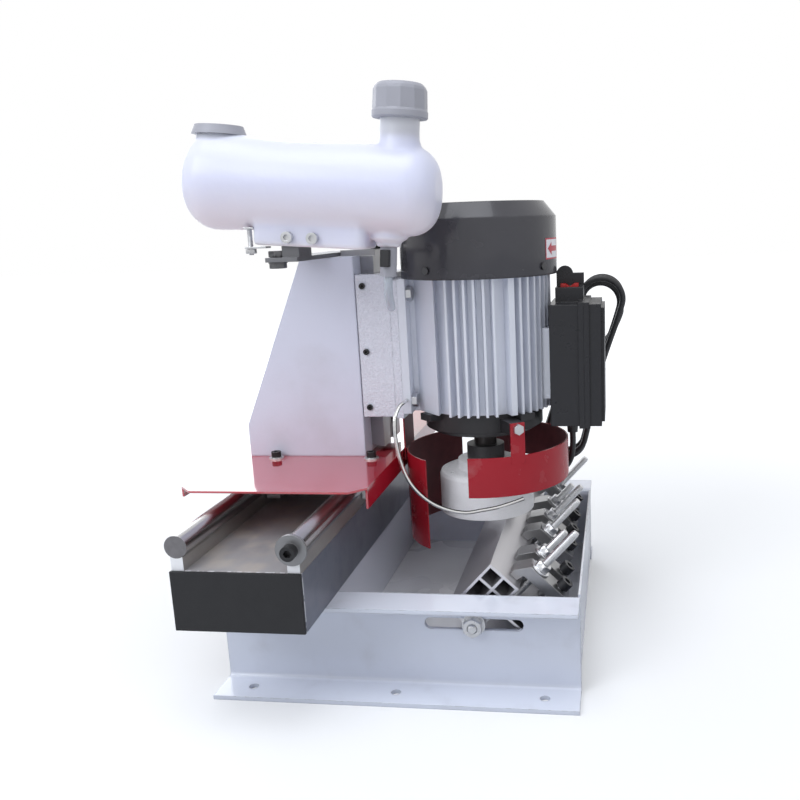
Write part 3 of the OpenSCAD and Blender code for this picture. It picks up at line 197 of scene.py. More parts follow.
turn, dip, roll = -0.145, 0.211, -0.036
ahead = Vector((math.sin(turn) * math.cos(dip), math.cos(turn) * math.cos(dip), -math.sin(dip)))
level = Vector((math.cos(turn), -math.sin(turn), 0))
upward = level.cross(ahead)
right = math.cos(roll) * level + math.sin(roll) * upward
top = math.cos(roll) * upward - math.sin(roll) * level
camera = bpy.data.objects.new("camera", bpy.data.cameras.new("camera"))
stand = Matrix.Translation((0.2039, -0.8766, 0.4226))
camera.matrix_world = stand @ Matrix((right, top, -ahead)).transposed().to_4x4()
picture, focal, centre_x, centre_y = 800, 857.3, 495.1, 408.8
camera.data.sensor_width = 36
camera.data.lens = camera.data.sensor_width * focal / picture
camera.data.shift_x = (picture / 2 - centre_x) / picture
camera.data.shift_y = (centre_y - picture / 2) / picture
scene.collection.objects.link(camera)
scene.camera = camera


# End frames: two folded steel channels with round foot holes and a long slot for the pivot bolt.
# Gloss pale grey-blue enamel, grubby along the folds, with its level faces painted paler as painted light.
# The tray between them has the same paint, with dull stains of dried coolant on its floor, its floor painted
# paler than its walls as painted light, and painted shade darkening it towards the rear.
def dress(finish, *names):
    for name in names:
        slots = nodes[name].data.materials
        slots.clear()
        slots.append(finish.material)


channel_paint = Finish("channel_paint", (0.6, 0.62, 0.69), 0.25, Coat_Weight=0.6, Coat_Roughness=0.12)
grime = channel_paint.noise(26, 6).step(0.5, 0.78)
worn = channel_paint.edges(0.0011) * channel_paint.noise(160, 4).step(0.45, 0.62)
upright = channel_paint.noise(7, 3).mix((0.58, 0.61, 0.7), (0.65, 0.68, 0.77))
# Painted light: faces that face up are painted paler than the upright faces.
painted_top_light = channel_paint.facing("Z").step(0.6, 0.9)
tone = painted_top_light.mix(upright, (0.83, 0.86, 0.95))
channel_paint.set(Base_Color=worn.mix((0.25 * grime).mix(tone, (0.42, 0.41, 0.43)), (0.36, 0.35, 0.35)),
                  Roughness=0.26 + 0.2 * worn)
channel_paint.relief(channel_paint.noise(420, 2), 0.00006, 0.0022)
dress(channel_paint, "front_channel", "rear_channel")
tray_paint = Finish("tray_paint", (0.6, 0.62, 0.69), 0.3, Coat_Weight=0.3, Coat_Roughness=0.15)
# Painted light: the tray's level floor is painted paler than its walls.
lit_level_faces = tray_paint.facing("Z").step(0.6, 0.9)
puddle = lit_level_faces * tray_paint.noise(14, 2).step(0.35, 0.85)
# Painted shade: walls and floor are painted darker towards the rear.
rear_painted_shade = tray_paint.along("Y").step(-0.02, 0.17)
wall_painted_shade = rear_painted_shade.mix((0.7, 0.72, 0.81), (0.34, 0.35, 0.39))
floor_painted_light_and_shade = rear_painted_shade.mix((0.93, 0.94, 0.98), (0.5, 0.51, 0.54))
tray_tone = lit_level_faces.mix(wall_painted_shade, floor_painted_light_and_shade)
tray_paint.set(Base_Color=(0.2 * puddle).mix(tray_tone, (0.42, 0.41, 0.41)), Roughness=0.24 + 0.25 * puddle)
tray_paint.relief(tray_paint.noise(420, 2), 0.00006, 0.0022)
dress(tray_paint, "coolant_tray")


# Rail beam: a welded box of thick steel, dark enamel on its sides and worn to grey steel on top.
# Black caps close its ends, the paint is chipped there, and a strip under each rail is bolted along it.
beam_paint = Finish("beam_paint", (0.1, 0.105, 0.13), 0.32)
upper = beam_paint.facing("Z").step(0.5, 0.8)
dust = beam_paint.noise(38, 8).step(0.42, 0.68)
bare = beam_paint.noise(55, 5, (1, 0.12, 1)).mix((0.3, 0.29, 0.3), (0.42, 0.41, 0.42))
dusty = (0.5 * dust).mix(bare, (0.5, 0.44, 0.38))
side_tone = beam_paint.noise(12, 4).mix((0.11, 0.117, 0.15), (0.15, 0.157, 0.19))
seam_out, seam_in = -0.2446, -0.2428
at_cap = 1 - beam_paint.along("Y").step(seam_out, seam_in)
chipped = at_cap * beam_paint.noise(240, 4).step(0.44, 0.5)
beam_paint.set(Base_Color=chipped.mix(upper.mix(side_tone, dusty), (0.72, 0.72, 0.75)),
               Roughness=0.28 + 0.3 * upper + 0.12 * dust, Metallic=0.5 * upper)
beam_paint.relief(beam_paint.noise(300, 3), 0.00008, 0.002)
dress(beam_paint, "rail_beam")
cap_plastic = Finish("cap_plastic", (0.02, 0.02, 0.022), 0.55, Specular_IOR_Level=0.3)
cap_plastic.set(Roughness=0.45 + 0.25 * cap_plastic.noise(70, 4))
cap_plastic.relief(cap_plastic.noise(1800, 2), 0.00015, 0.0015)
dress(cap_plastic, "beam_caps")
strip_steel = Finish("strip_steel", (0.5, 0.49, 0.47), 0.4, 0.85)
front_end = strip_steel.facing("Y").step(-0.9, -0.6)
strip_tone = strip_steel.noise(80, 4, (1, 0.1, 1)).mix((0.36, 0.35, 0.34), (0.56, 0.55, 0.53))
strip_steel.set(Base_Color=front_end.mix((0.82, 0.82, 0.84), strip_tone), Metallic=0.85 * front_end,
                Roughness=0.32 + 0.2 * strip_steel.noise(120, 4))
strip_steel.relief(strip_steel.noise(500, 3, (1, 0.08, 1)), 0.00008, 0.0008)
dress(strip_steel, "rail_strips")


# Guide rails: hard ground bars with fine marks round them and a film of oil.
# The right one has a thick washer and a black socket screw at each end, which stop the carriage.
rail_steel = Finish("rail_steel", (0.6, 0.6, 0.61), 0.18, 1.0)
marks = rail_steel.noise(900, 2, (0.2, 1, 0.2))
smear = rail_steel.noise(30, 5, (1, 0.2, 1))
turned_end = rail_steel.facing("Y")
turned_end = (turned_end * turned_end).step(0.6, 0.9)
ground = smear.mix((0.46, 0.45, 0.45), (0.64, 0.64, 0.65))
sawn = rail_steel.noise(160, 5).mix((0.13, 0.125, 0.13), (0.24, 0.23, 0.24))
rail_steel.set(Base_Color=turned_end.mix(ground, sawn), Metallic=1 - 0.4 * turned_end,
               Roughness=0.14 + 0.14 * smear + 0.06 * marks + 0.2 * turned_end)
rail_steel.relief(marks, 0.00002, 0.0006)
dress(rail_steel, "guide_rails")
stop_zinc = Finish("stop_zinc", (0.62, 0.62, 0.63), 0.3, 1.0)
washer_in, washer_out = 0.2478, 0.2483
past_front = stop_zinc.along("Y").step(-washer_out, -washer_in)
past_rear = stop_zinc.along("Y").step(washer_in, washer_out)
on_screw = 1 - past_front * (1 - past_rear)
stop_zinc.set(Base_Color=on_screw.mix((0.36, 0.36, 0.37), (0.02, 0.02, 0.022)), Metallic=1 - 0.6 * on_screw,
              Roughness=0.3 + 0.15 * stop_zinc.noise(200, 3))
stop_zinc.relief(stop_zinc.noise(700, 2), 0.00004, 0.0006)
dress(stop_zinc, "rail_stops")


# Carriage: a machined plate on four bearing blocks, hidden under a folded red sheet.
# The sheet is sprayed gloss red, and two black socket screws on zinc washers hold it down.
plate_steel = Finish("plate_steel", (0.4, 0.4, 0.42), 0.4, 0.9)
plate_steel.set(Roughness=0.32 + 0.2 * plate_steel.noise(140, 4, (1, 0.1, 1)))
plate_steel.relief(plate_steel.noise(420, 3, (1, 0.06, 1)), 0.00006, 0.001)
dress(plate_steel, "carriage_plate")
block_metal = Finish("block_metal", (0.62, 0.62, 0.64), 0.35, 0.95)
block_metal.set(Roughness=0.3 + 0.16 * block_metal.noise(220, 3))
block_metal.relief(block_metal.noise(640, 3), 0.00005, 0.001)
dress(block_metal, "bearing_blocks")
red_gloss = Finish("red_gloss", (0.46, 0.012, 0.03), 0.16, Coat_Weight=1.0, Coat_Roughness=0.05, Coat_IOR=1.9)
deep = red_gloss.noise(9, 3).mix((0.42, 0.01, 0.026), (0.52, 0.018, 0.038))
scuff = red_gloss.noise(60, 7).step(0.6, 0.8)
red_gloss.set(Base_Color=(0.25 * scuff).mix(deep, (0.5, 0.2, 0.2)), Roughness=0.13 + 0.22 * scuff)
red_gloss.relief(red_gloss.noise(360, 2), 0.00004, 0.001)
dress(red_gloss, "carriage_cover")
black_oxide = Finish("black_oxide", (0.035, 0.035, 0.037), 0.38, 0.7)
washer_top = 0.1946
above_washer = black_oxide.along("Z").step(washer_top, washer_top + 0.0003)
blacked = black_oxide.edges(0.0005).mix((0.03, 0.03, 0.032), (0.2, 0.19, 0.18))
black_oxide.set(Base_Color=above_washer.mix((0.66, 0.66, 0.67), blacked), Metallic=1 - 0.3 * above_washer,
                Roughness=0.3 + 0.2 * black_oxide.noise(400, 3))
black_oxide.relief(black_oxide.noise(900, 2), 0.00005, 0.0004)
dress(black_oxide, "cover_screws", "gib_screws")


# Column: a pillar of folded and welded sheet in pale lavender grey, semi gloss with faint runs.
# The ground dovetail, its gib and the feed screw stand on its right side, under a small black handwheel.
column_paint = Finish("column_paint", (0.6, 0.62, 0.7), 0.34, Coat_Weight=0.2, Coat_Roughness=0.15)
soiled = column_paint.noise(14, 6).step(0.52, 0.8)
lavender = column_paint.noise(5, 2).mix((0.66, 0.68, 0.8), (0.72, 0.74, 0.85))
column_paint.set(Base_Color=(0.3 * soiled).mix(lavender, (0.45, 0.44, 0.46)), Roughness=0.28 + 0.2 * soiled)
column_paint.relief(column_paint.noise(330, 2), 0.00008, 0.003)
dress(column_paint, "column")
ground_iron = Finish("ground_iron", (0.42, 0.42, 0.43), 0.35, 0.9)
ground_iron.set(Base_Color=ground_iron.noise(40, 5).mix((0.34, 0.33, 0.33), (0.5, 0.5, 0.51)),
                Roughness=0.28 + 0.18 * ground_iron.noise(150, 3, (1, 1, 0.1)))
ground_iron.relief(ground_iron.noise(700, 2, (1, 1, 0.05)), 0.00003, 0.0006)
dress(ground_iron, "dovetail_way", "gib_strip", "feed_screw")
hand_plastic = Finish("hand_plastic", (0.02, 0.02, 0.022), 0.35)
hand_plastic.set(Roughness=0.28 + 0.25 * hand_plastic.noise(60, 4))
hand_plastic.relief(hand_plastic.noise(1500, 2), 0.00008, 0.0018)
dress(hand_plastic, "feed_handwheel", "valve_tap")


# Saddle and motor plate: a cast slide on the dovetail, and the plate that the motor's foot is bolted to.
# Both are in white hammer enamel, pebbled all over.
hammer_paint = Finish("hammer_paint", (0.7, 0.7, 0.73), 0.3, Coat_Weight=0.3, Coat_Roughness=0.1)
pebble = hammer_paint.noise(520, 2).step(0.3, 0.72)
hammer_paint.set(Base_Color=pebble.mix((0.69, 0.7, 0.78), (0.75, 0.76, 0.84)),
                 Roughness=0.22 + 0.12 * hammer_paint.noise(300, 2))
hammer_paint.relief(pebble, 0.0004, 0.002)
dress(hammer_paint, "saddle", "motor_plate")


# Motor: an aluminium housing cast with upright fins and painted silver.
# The black bell under it and the black pressed cover over its fan are sprayed semi gloss, on dark screws.
silver_paint = Finish("silver_paint", (0.66, 0.68, 0.74), 0.36, 0.2)
cast = silver_paint.noise(500, 3)
silver_paint.set(Base_Color=silver_paint.noise(11, 4).mix((0.66, 0.68, 0.75), (0.76, 0.78, 0.85)),
                 Roughness=0.3 + 0.16 * cast)
silver_paint.relief(cast, 0.0001, 0.0009)
dress(silver_paint, "motor_body")
black_enamel = Finish("black_enamel", (0.05, 0.049, 0.056), 0.26, Specular_IOR_Level=0.3,
                      Coat_Weight=0.25, Coat_Roughness=0.06, Coat_IOR=1.6)
black_enamel.set(Base_Color=black_enamel.noise(30, 5).mix((0.046, 0.045, 0.052), (0.062, 0.06, 0.068)),
                 Roughness=0.2 + 0.12 * black_enamel.noise(45, 4))
black_enamel.relief(black_enamel.noise(900, 2), 0.00004, 0.003)
dress(black_enamel, "fan_cover")
bell_black = Finish("bell_black", (0.016, 0.015, 0.017), 0.4)
bell_black.set(Roughness=0.34 + 0.2 * bell_black.noise(60, 4))
bell_black.relief(bell_black.noise(700, 3), 0.0001, 0.001)
dress(bell_black, "end_shield")
zinc = Finish("zinc", (0.62, 0.63, 0.65), 0.26, 1.0)
zinc.set(Base_Color=zinc.noise(120, 4).mix((0.5, 0.5, 0.51), (0.7, 0.71, 0.73)),
         Roughness=0.2 + 0.2 * zinc.noise(260, 3))
zinc.relief(zinc.noise(800, 2), 0.00004, 0.0006)
dress(zinc, "tank_screws", "wheel_nut")
bolt_zinc = Finish("bolt_zinc", (0.62, 0.63, 0.65), 0.3, 1.0)
cover_low = 0.3735
on_cover = bolt_zinc.along("Z").step(cover_low, cover_low + 0.0005)
plated = bolt_zinc.noise(120, 4).mix((0.5, 0.5, 0.51), (0.7, 0.71, 0.73))
bolt_zinc.set(Base_Color=on_cover.mix(plated, (0.1, 0.1, 0.105)),
              Roughness=0.22 + 0.2 * bolt_zinc.noise(260, 3))
bolt_zinc.relief(bolt_zinc.noise(800, 2), 0.00004, 0.0006)
dress(bolt_zinc, "head_bolts")
shaft_steel = Finish("shaft_steel", (0.5, 0.5, 0.52), 0.25, 1.0)
shaft_steel.set(Roughness=0.2 + 0.14 * shaft_steel.noise(500, 2, (0.2, 0.2, 1)))
shaft_steel.relief(shaft_steel.noise(900, 2, (0.1, 0.1, 1)), 0.00003, 0.0006)
dress(shaft_steel, "motor_bearings")
spindle_black = Finish("spindle_black", (0.06, 0.058, 0.06), 0.4, 0.6)
spindle_black.set(Base_Color=spindle_black.noise(60, 4).mix((0.045, 0.043, 0.045), (0.085, 0.08, 0.08)),
                  Roughness=0.34 + 0.14 * spindle_black.noise(500, 2, (0.2, 0.2, 1)))
spindle_black.relief(spindle_black.noise(900, 2, (0.1, 0.1, 1)), 0.00003, 0.0006)
dress(spindle_black, "spindle_shaft")
fan_plastic = Finish("fan_plastic", (0.05, 0.05, 0.053), 0.5)
fan_plastic.set(Roughness=0.42 + 0.2 * fan_plastic.noise(80, 3))
fan_plastic.relief(fan_plastic.noise(1200, 2), 0.0001, 0.0008)
dress(fan_plastic, "cooling_fan")


# Turning label: a thin sticker on the fan cover, white with a red edge and a red arrow.
# It is cut from printed foil and follows the round of the cover.
def piece(name, made, body, finishes, replaces=(), sharp=35):
    """Turn the gathered faces into an object that rides on a body."""
    bmesh.ops.remove_doubles(made, verts=made.verts, dist=1e-7)
    mesh = bpy.data.meshes.new(name)
    made.to_mesh(mesh)
    made.free()
    mesh.set_sharp_from_angle(angle=math.radians(sharp))
    for finish in finishes:
        mesh.materials.append(finish.material)
    thing = bpy.data.objects.new(name, mesh)
    scene.collection.objects.link(thing)
    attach(thing, body)
    if replaces:
        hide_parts(*replaces)
    return thing


def loft(made, rings, place=Matrix.Identity(4), caps=(True, True), skin=0):
    """Bridge rings of points, all with the same count, and close the two ends."""
    rows = [[made.verts.new(place @ Vector(p)) for p in ring] for ring in rings]
    faces = [made.faces.new((a[i - 1], a[i], b[i], b[i - 1]))
             for a, b in zip(rows, rows[1:]) for i in range(len(a))]
    faces += [made.faces.new(row) for row, close in zip((rows[0][::-1], rows[-1]), caps) if close]
    for face in faces:
        face.smooth = True
        face.material_index = skin


cover_axis, cover_r = Vector((0.0635, 0.005, 0)), 0.08
label_white = Finish("label_white", (0.82, 0.8, 0.84), 0.35)
label_white.set(Base_Color=label_white.noise(90, 3).mix((0.78, 0.76, 0.8), (0.86, 0.84, 0.88)))
label_red = Finish("label_red", (0.5, 0.02, 0.05), 0.35)
label_red.set(Base_Color=label_red.noise(90, 3).mix((0.46, 0.02, 0.05), (0.55, 0.03, 0.06)))
label = bmesh.new()


def foil(corners, lift, skin):
    """Lay a four-sided print on the cover. Corners are degrees round from the front, and heights."""
    steps = 6
    lower, upper = (corners[0], corners[1]), (corners[3], corners[2])
    row = []
    for edge in (lower, upper):
        for k in range(steps + 1):
            (a0, z0), (a1, z1) = edge
            a = math.radians(a0 + (a1 - a0) * k / steps)
            z = z0 + (z1 - z0) * k / steps
            out = Vector((math.sin(a), -math.cos(a), 0)) * (cover_r + lift)
            row.append(label.verts.new(cover_axis + out + Vector((0, 0, z))))
    for k in range(steps):
        face = label.faces.new((row[k], row[k + 1], row[steps + 2 + k], row[steps + 1 + k]))
        face.smooth = True
        face.material_index = skin


low, high, near, far, edge_a, edge_z = 0.388, 0.4085, 64.0, 89.0, 1.0, 0.0014
white_lift, red_lift = 0.00015, 0.0003
middle = (low + high) / 2
foil([(near, low), (far, low), (far, high), (near, high)], white_lift, 0)
foil([(near, low), (far, low), (far, low + edge_z), (near, low + edge_z)], red_lift, 1)
foil([(near, high - edge_z), (far, high - edge_z), (far, high), (near, high)], red_lift, 1)
foil([(near, low), (near + edge_a, low), (near + edge_a, high), (near, high)], red_lift, 1)
foil([(far - edge_a, low), (far, low), (far, high), (far - edge_a, high)], red_lift, 1)
tip, barb, tail_end, head_half, shaft_half = near + 3.0, near + 9.5, far - 3.0, 0.0065, 0.0026
foil([(tip, middle), (barb, middle - head_half), (barb, middle + head_half), (tip, middle)], red_lift, 1)
foil([(barb, middle - shaft_half), (tail_end, middle - shaft_half), (tail_end, middle + shaft_half),
      (barb, middle + shaft_half)], red_lift, 1)
piece("turning_label", label, "head", (label_white, label_red))


# Cup wheel: white corundum grit in a vitrified bond, with a row of blind holes in its back.
# A white enamelled flange with a dark hub and a nut hold it on the spindle.
grit = Finish("grit", (0.84, 0.83, 0.84), 0.85)
grain = grit.cells(1500)
grit.set(Base_Color=grain.step(0.1, 0.7).mix((0.92, 0.91, 0.92), (0.98, 0.97, 0.98)),
         Roughness=0.78 + 0.15 * grain)
grit.relief(grain, 0.00025, 0.0006)
dress(grit, "grinding_wheel")
flange_white = Finish("flange_white", (0.8, 0.79, 0.81), 0.45)
hub_low = 0.1791
on_hub = flange_white.along("Z").step(hub_low, hub_low + 0.0003)
enamel = flange_white.noise(60, 4).mix((0.88, 0.87, 0.88), (0.95, 0.94, 0.95))
flange_white.set(Base_Color=on_hub.mix(enamel, (0.05, 0.048, 0.05)))
flange_white.relief(flange_white.noise(600, 2), 0.00006, 0.0008)
dress(flange_white, "wheel_flange")


# Wheel guard: a rolled red band on two ears of the motor, and a red splash sheet hung from the saddle.
# Thin steel sprayed in the same red as the cover, with stone dust on it and painted shade darkening its
# inside.
guard_red = Finish("guard_red", (0.36, 0.012, 0.022), 0.3, Specular_IOR_Level=0.3)
powder = guard_red.noise(45, 7).step(0.56, 0.8)
from_axis = guard_red.node("VectorMath", {"operation": "SUBTRACT"},
                           {0: guard_red.node("TexCoord", out="Object"), 1: cover_axis})
outward = guard_red.node("VectorMath", {"operation": "DOT_PRODUCT"},
                         {0: from_axis, 1: guard_red.node("TexCoord", out="Normal")}, out="Value")
# Painted shade: faces inside the guard, turned towards the wheel, are painted dark.
inside = 1 - outward.step(-0.03, 0.0)
clean_red = guard_red.noise(9, 3).mix((0.33, 0.01, 0.02), (0.42, 0.014, 0.026))
inside_painted_shade = guard_red.noise(70, 6).mix((0.06, 0.012, 0.016), (0.15, 0.03, 0.036))
guard_red.set(Base_Color=inside.mix((0.22 * powder).mix(clean_red, (0.5, 0.3, 0.3)), inside_painted_shade),
              Roughness=0.24 + 0.3 * powder.larger(inside))
guard_red.relief(guard_red.noise(360, 2), 0.00004, 0.0006)
dress(guard_red, "guard_band", "splash_sheet")


# Coolant pipe: a thin bright tube, bent by hand from the motor foot to the wheel.
# It is plated, with faint dull patches where it was handled.
bright_tube = Finish("bright_tube", (0.66, 0.66, 0.66), 0.16, 1.0)
bright_tube.set(Roughness=0.12 + 0.14 * bright_tube.noise(180, 4))
bright_tube.relief(bright_tube.noise(500, 3), 0.00004)
dress(bright_tube, "coolant_tube")


# Coolant tank: one milky polyethylene bottle, blow moulded, lying on its side over the column.
# Its neck, vent, drain and hollow foot blend into the body, and two screws hold the foot to the bracket.
def circle(r, z, n=48):
    return [(r * math.cos(2 * math.pi * k / n), r * math.sin(2 * math.pi * k / n), z) for k in range(n)]


def sides(count, across, z, limit=1.0, n=48):
    """A ring with flat sides, cut round at limit, the radius of a cone at that height."""
    ring = []
    for k in range(n):
        a = 2 * math.pi * k / n
        flat = across / math.cos((a + math.pi / count) % (2 * math.pi / count) - math.pi / count)
        r = min(flat, limit)
        ring.append((r * math.cos(a), r * math.sin(a), z))
    return ring


def cushion(x0, x1, half, r, z, n=48):
    """A ring round a rectangle with rounded corners."""
    ring = []
    for k in range(n):
        a = 2 * math.pi * (k + 0.5) / n
        cx = x1 - r if math.cos(a) > 0 else x0 + r
        cy = (half - r) if math.sin(a) > 0 else r - half
        ring.append((cx + r * math.cos(a), cy + r * math.sin(a), z))
    return ring


bottle_l, bottle_r, end_r, bands = 0.229, 0.039, 0.026, 41
hump_h, hump_w = 0.0062, 0.036
foot_x0, foot_x1, foot_half = -0.049, 0.053, 0.025
bottle_at = Matrix.Translation((-0.064, -0.115, 0.4607)) @ Matrix.Rotation(math.radians(4.3), 4, "Y")
neck_x, neck_r, neck_top = 0.078, 0.0175, 0.082
vent_x, vent_r, vent_top = -0.0875, 0.02, 0.046
drain_x, drain_r, drain_low = 0.0695, 0.011, -0.049


def bottle_radius(x):
    d = bottle_l / 2 - abs(x)
    r = bottle_r + 0.003 * max(0, -x / (bottle_l / 2)) ** 3
    return r if d >= end_r else r - end_r + math.sqrt(max(0, end_r ** 2 - (end_r - d) ** 2))


bottle = bmesh.new()
along_x = Matrix.Rotation(math.radians(90), 4, "Y")
places = [-bottle_l / 2 * math.cos(math.pi * (k + 0.5) / bands) for k in range(bands)]
rounds = [circle(bottle_radius(x), x) for x in places]
for x, ring in zip(places, rounds):
    hump = hump_h * math.exp(-((x - vent_x) / hump_w) ** 2) / bottle_r
    ring[:] = [(a * (1 + hump) if a < 0 else a, b, x) for a, b, x in ring]
loft(bottle, rounds, along_x)
neck_at, vent_at, drain_at = (Matrix.Translation((x, 0, 0)) for x in (neck_x, vent_x, drain_x))
loft(bottle, [circle(neck_r + 0.003, 0), circle(neck_r + 0.003, 0.035), circle(neck_r + 0.0005, 0.0425),
              circle(neck_r, 0.046), circle(neck_r, neck_top + 0.003)], neck_at)
loft(bottle, [circle(vent_r, 0), circle(vent_r, vent_top + 0.003)], vent_at)
loft(bottle, [circle(drain_r, drain_low), circle(drain_r, -0.044), circle(0.0165, -0.0425),
              circle(0.0185, -0.03), circle(0.0185, 0)], drain_at)
loft(bottle, [cushion(foot_x0 + 0.0015, foot_x1 - 0.0015, foot_half - 0.0015, 0.006, -0.0515),
              cushion(foot_x0, foot_x1, foot_half, 0.007, -0.05),
              cushion(foot_x0, foot_x1, foot_half, 0.007, -0.033),
              cushion(foot_x0 - 0.004, foot_x1 + 0.004, foot_half + 0.005, 0.007, -0.024)])
rough_mesh = bpy.data.meshes.new("bottle_rough")
bottle.to_mesh(rough_mesh)
bottle.free()
rough = bpy.data.objects.new("bottle_rough", rough_mesh)
scene.collection.objects.link(rough)
blend = rough.modifiers.new("blend", "REMESH")
blend.mode, blend.voxel_size = "VOXEL", 0.0016
soften = rough.modifiers.new("soften", "SMOOTH")
soften.factor, soften.iterations = 0.5, 9
bpy.context.view_layer.update()
bottle = bmesh.new()
bottle.from_mesh(rough.evaluated_get(bpy.context.evaluated_depsgraph_get()).to_mesh())
bpy.data.objects.remove(rough)
bpy.data.meshes.remove(rough_mesh)
for face in bottle.faces:
    face.smooth = True


def mouth(side, x, top, wall, depth):
    """Cut a neck off level, turn its rim inward and line it down inside."""
    geom = [v for v in bottle.verts if side(v.co)]
    geom += [e for e in bottle.edges if all(side(v.co) for v in e.verts)]
    geom += [f for f in bottle.faces if all(side(v.co) for v in f.verts)]
    cut = bmesh.ops.bisect_plane(bottle, geom=geom, plane_co=(0, 0, top), plane_no=(0, 0, 1),
                                 clear_outer=True)
    rim = [e for e in cut["geom_cut"] if isinstance(e, bmesh.types.BMEdge)]
    for inward, down in ((wall, 0), (0, depth)):
        grown = bmesh.ops.extrude_edge_only(bottle, edges=rim)["geom"]
        for v in (g for g in grown if isinstance(g, bmesh.types.BMVert)):
            out = Vector((v.co.x - x, v.co.y, 0))
            v.co -= out.normalized() * inward + Vector((0, 0, down))
        rim = [g for g in grown if isinstance(g, bmesh.types.BMEdge)]


mouth(lambda p: p.x > 0.04 and p.z > 0.05, neck_x, neck_top, 0.003, 0.035)
mouth(lambda p: p.x < -0.04 and p.z > 0.035, vent_x, vent_top, 0.003, 0.02)
bmesh.ops.transform(bottle, matrix=bottle_at, verts=bottle.verts)
bmesh.ops.recalc_face_normals(bottle, faces=bottle.faces)
milky = Finish("milky", (0.76, 0.76, 0.9), 0.3, Subsurface_Weight=0.7, Subsurface_Radius=(0.02, 0.02, 0.021),
               Subsurface_Scale=1.0)
milk = milky.noise(8, 3).mix((0.67, 0.68, 0.81), (0.72, 0.73, 0.86))
# Painted light: the neck above the shoulder is painted paler and bluer.
neck_light_low, neck_light_high = 0.5, 0.511
milk = milky.along("Z").step(neck_light_low, neck_light_high).mix(milk, (0.84, 0.86, 0.99))
# Painted light: faces that face down are painted lighter and pinker than the rest of the bottle.
milky.set(Base_Color=milky.facing("Z").step(-0.9, 0.3).mix((0.8, 0.74, 0.79), milk),
          Roughness=0.24 + 0.16 * milky.noise(40, 4))
milky.relief(milky.noise(110, 3), 0.0002)
piece("milky_bottle", bottle, "carriage", (milky,), ("coolant_tank",))

grey_plastic = Finish("grey_plastic", (0.36, 0.36, 0.39), 0.4)
grey_plastic.set(Base_Color=grey_plastic.noise(30, 4).mix((0.33, 0.33, 0.37), (0.39, 0.39, 0.43)),
                 Roughness=0.34 + 0.2 * grey_plastic.noise(70, 4))
grey_plastic.relief(grey_plastic.noise(1300, 2), 0.00008, 0.0008)
dress(grey_plastic, "vent_lid", "drain_valve")
cap = bmesh.new()
cap_h, bore_r = 0.029, neck_r + 0.0005
loft(cap, [circle(bore_r, 0.0212), circle(bore_r, 0.0006), circle(bore_r + 0.0006, 0), circle(0.0236, 0),
           circle(0.0245, 0.001), circle(0.0245, 0.0055), circle(0.0238, 0.0068), sides(12, 0.0231, 0.0075),
           sides(12, 0.0226, 0.0235), sides(12, 0.0218, 0.026, 0.0222), circle(0.0198, 0.0283),
           circle(0.0186, cap_h)],
     bottle_at @ Matrix.Translation((neck_x, 0, neck_top + 0.008 - cap_h)))
piece("screw_cap", cap, "filler_cap", (grey_plastic,), ("filler_cap",), sharp=14)


def smooth_run(points, n):
    """Points between the chosen ones, so that the run bends smoothly."""
    m, made = len(points) - 1, []
    for i in range(m):
        a, b, c, d = points[max(i - 1, 0)], points[i], points[i + 1], points[min(i + 2, m)]
        for k in range(n):
            t = k / n
            made.append(0.5 * (2 * b + (c - a) * t + (2 * a - 5 * b + 4 * c - d) * t * t
                               + (3 * b - a - 3 * c + d) * t ** 3))
    return made + [points[m]]


def tube(path, r, n=16):
    """Rings of one radius square to a path."""
    rings, over = [], Vector((0, 1, 0.1)).normalized()
    for k, point in enumerate(path):
        ahead = (path[min(k + 1, len(path) - 1)] - path[max(k - 1, 0)]).normalized()
        over = (over - ahead * over.dot(ahead)).normalized()
        other = ahead.cross(over)
        rings.append([point + r * (math.cos(a) * over + math.sin(a) * other)
                      for a in (2 * math.pi * i / n for i in range(n))])
    return rings


clear_hose = Finish("clear_hose", (0.78, 0.82, 0.88), 0.15, Transmission_Weight=0.6, IOR=1.45)
clear_hose.set(Roughness=0.1 + 0.15 * clear_hose.noise(90, 3))
clear_hose.relief(clear_hose.noise(300, 2), 0.00006)
hose_top = Vector((drain_x, 0, drain_low - 0.0264))
hose_run = smooth_run([hose_top + Vector(p) for p in ((0, 0, 0), (0, 0, -0.008), (-0.001, 0.008, -0.02),
                                                      (-0.002, 0.02, -0.03))], 6)
hose = bmesh.new()
hose_r, hose_bore = 0.004, 0.0028
skin_out, skin_in = tube(hose_run, hose_r), tube(hose_run, hose_bore)
loft(hose, [skin_in[0]] + skin_out + skin_in[::-1], bottle_at, (False, False))
piece("clear_hose", hose, "carriage", (clear_hose,), ("coolant_hose",))


# Tank bracket: a dull grey steel bar and cradle under the foot.
# A zinc hook bolt stands on the left of the foot, and a dark hex bolt holds the cradle to its bar.
bracket_steel = Finish("bracket_steel", (0.17, 0.17, 0.18), 0.42, 0.6)
bracket_steel.set(Base_Color=bracket_steel.noise(40, 5).mix((0.13, 0.13, 0.138), (0.22, 0.22, 0.23)),
                  Roughness=0.34 + 0.2 * bracket_steel.noise(160, 4))
bracket_steel.relief(bracket_steel.noise(500, 3), 0.00006, 0.0008)
dress(bracket_steel, "tank_bracket")


def thread(made, r, z0, z1, place, pitch=0.00125, n=14, skin=0):
    """A screw thread with a chamfered top end."""
    depth, rows = 0.6 * pitch, []
    count = max(2, round(3 * (z1 - z0) / pitch))
    for k in range(count + 1):
        z = z0 + (z1 - z0) * k / count
        fade = min(1, (z1 - z) / (2 * pitch))
        ring = []
        for i in range(n):
            phase = (z / pitch + i / n) % 1
            cut = depth * (1 - abs(2 * phase - 1)) + (1 - fade) * depth
            a = 2 * math.pi * i / n
            ring.append(((r - cut) * math.cos(a), (r - cut) * math.sin(a), z))
        rows.append(ring)
    loft(made, rows, place, skin=skin)


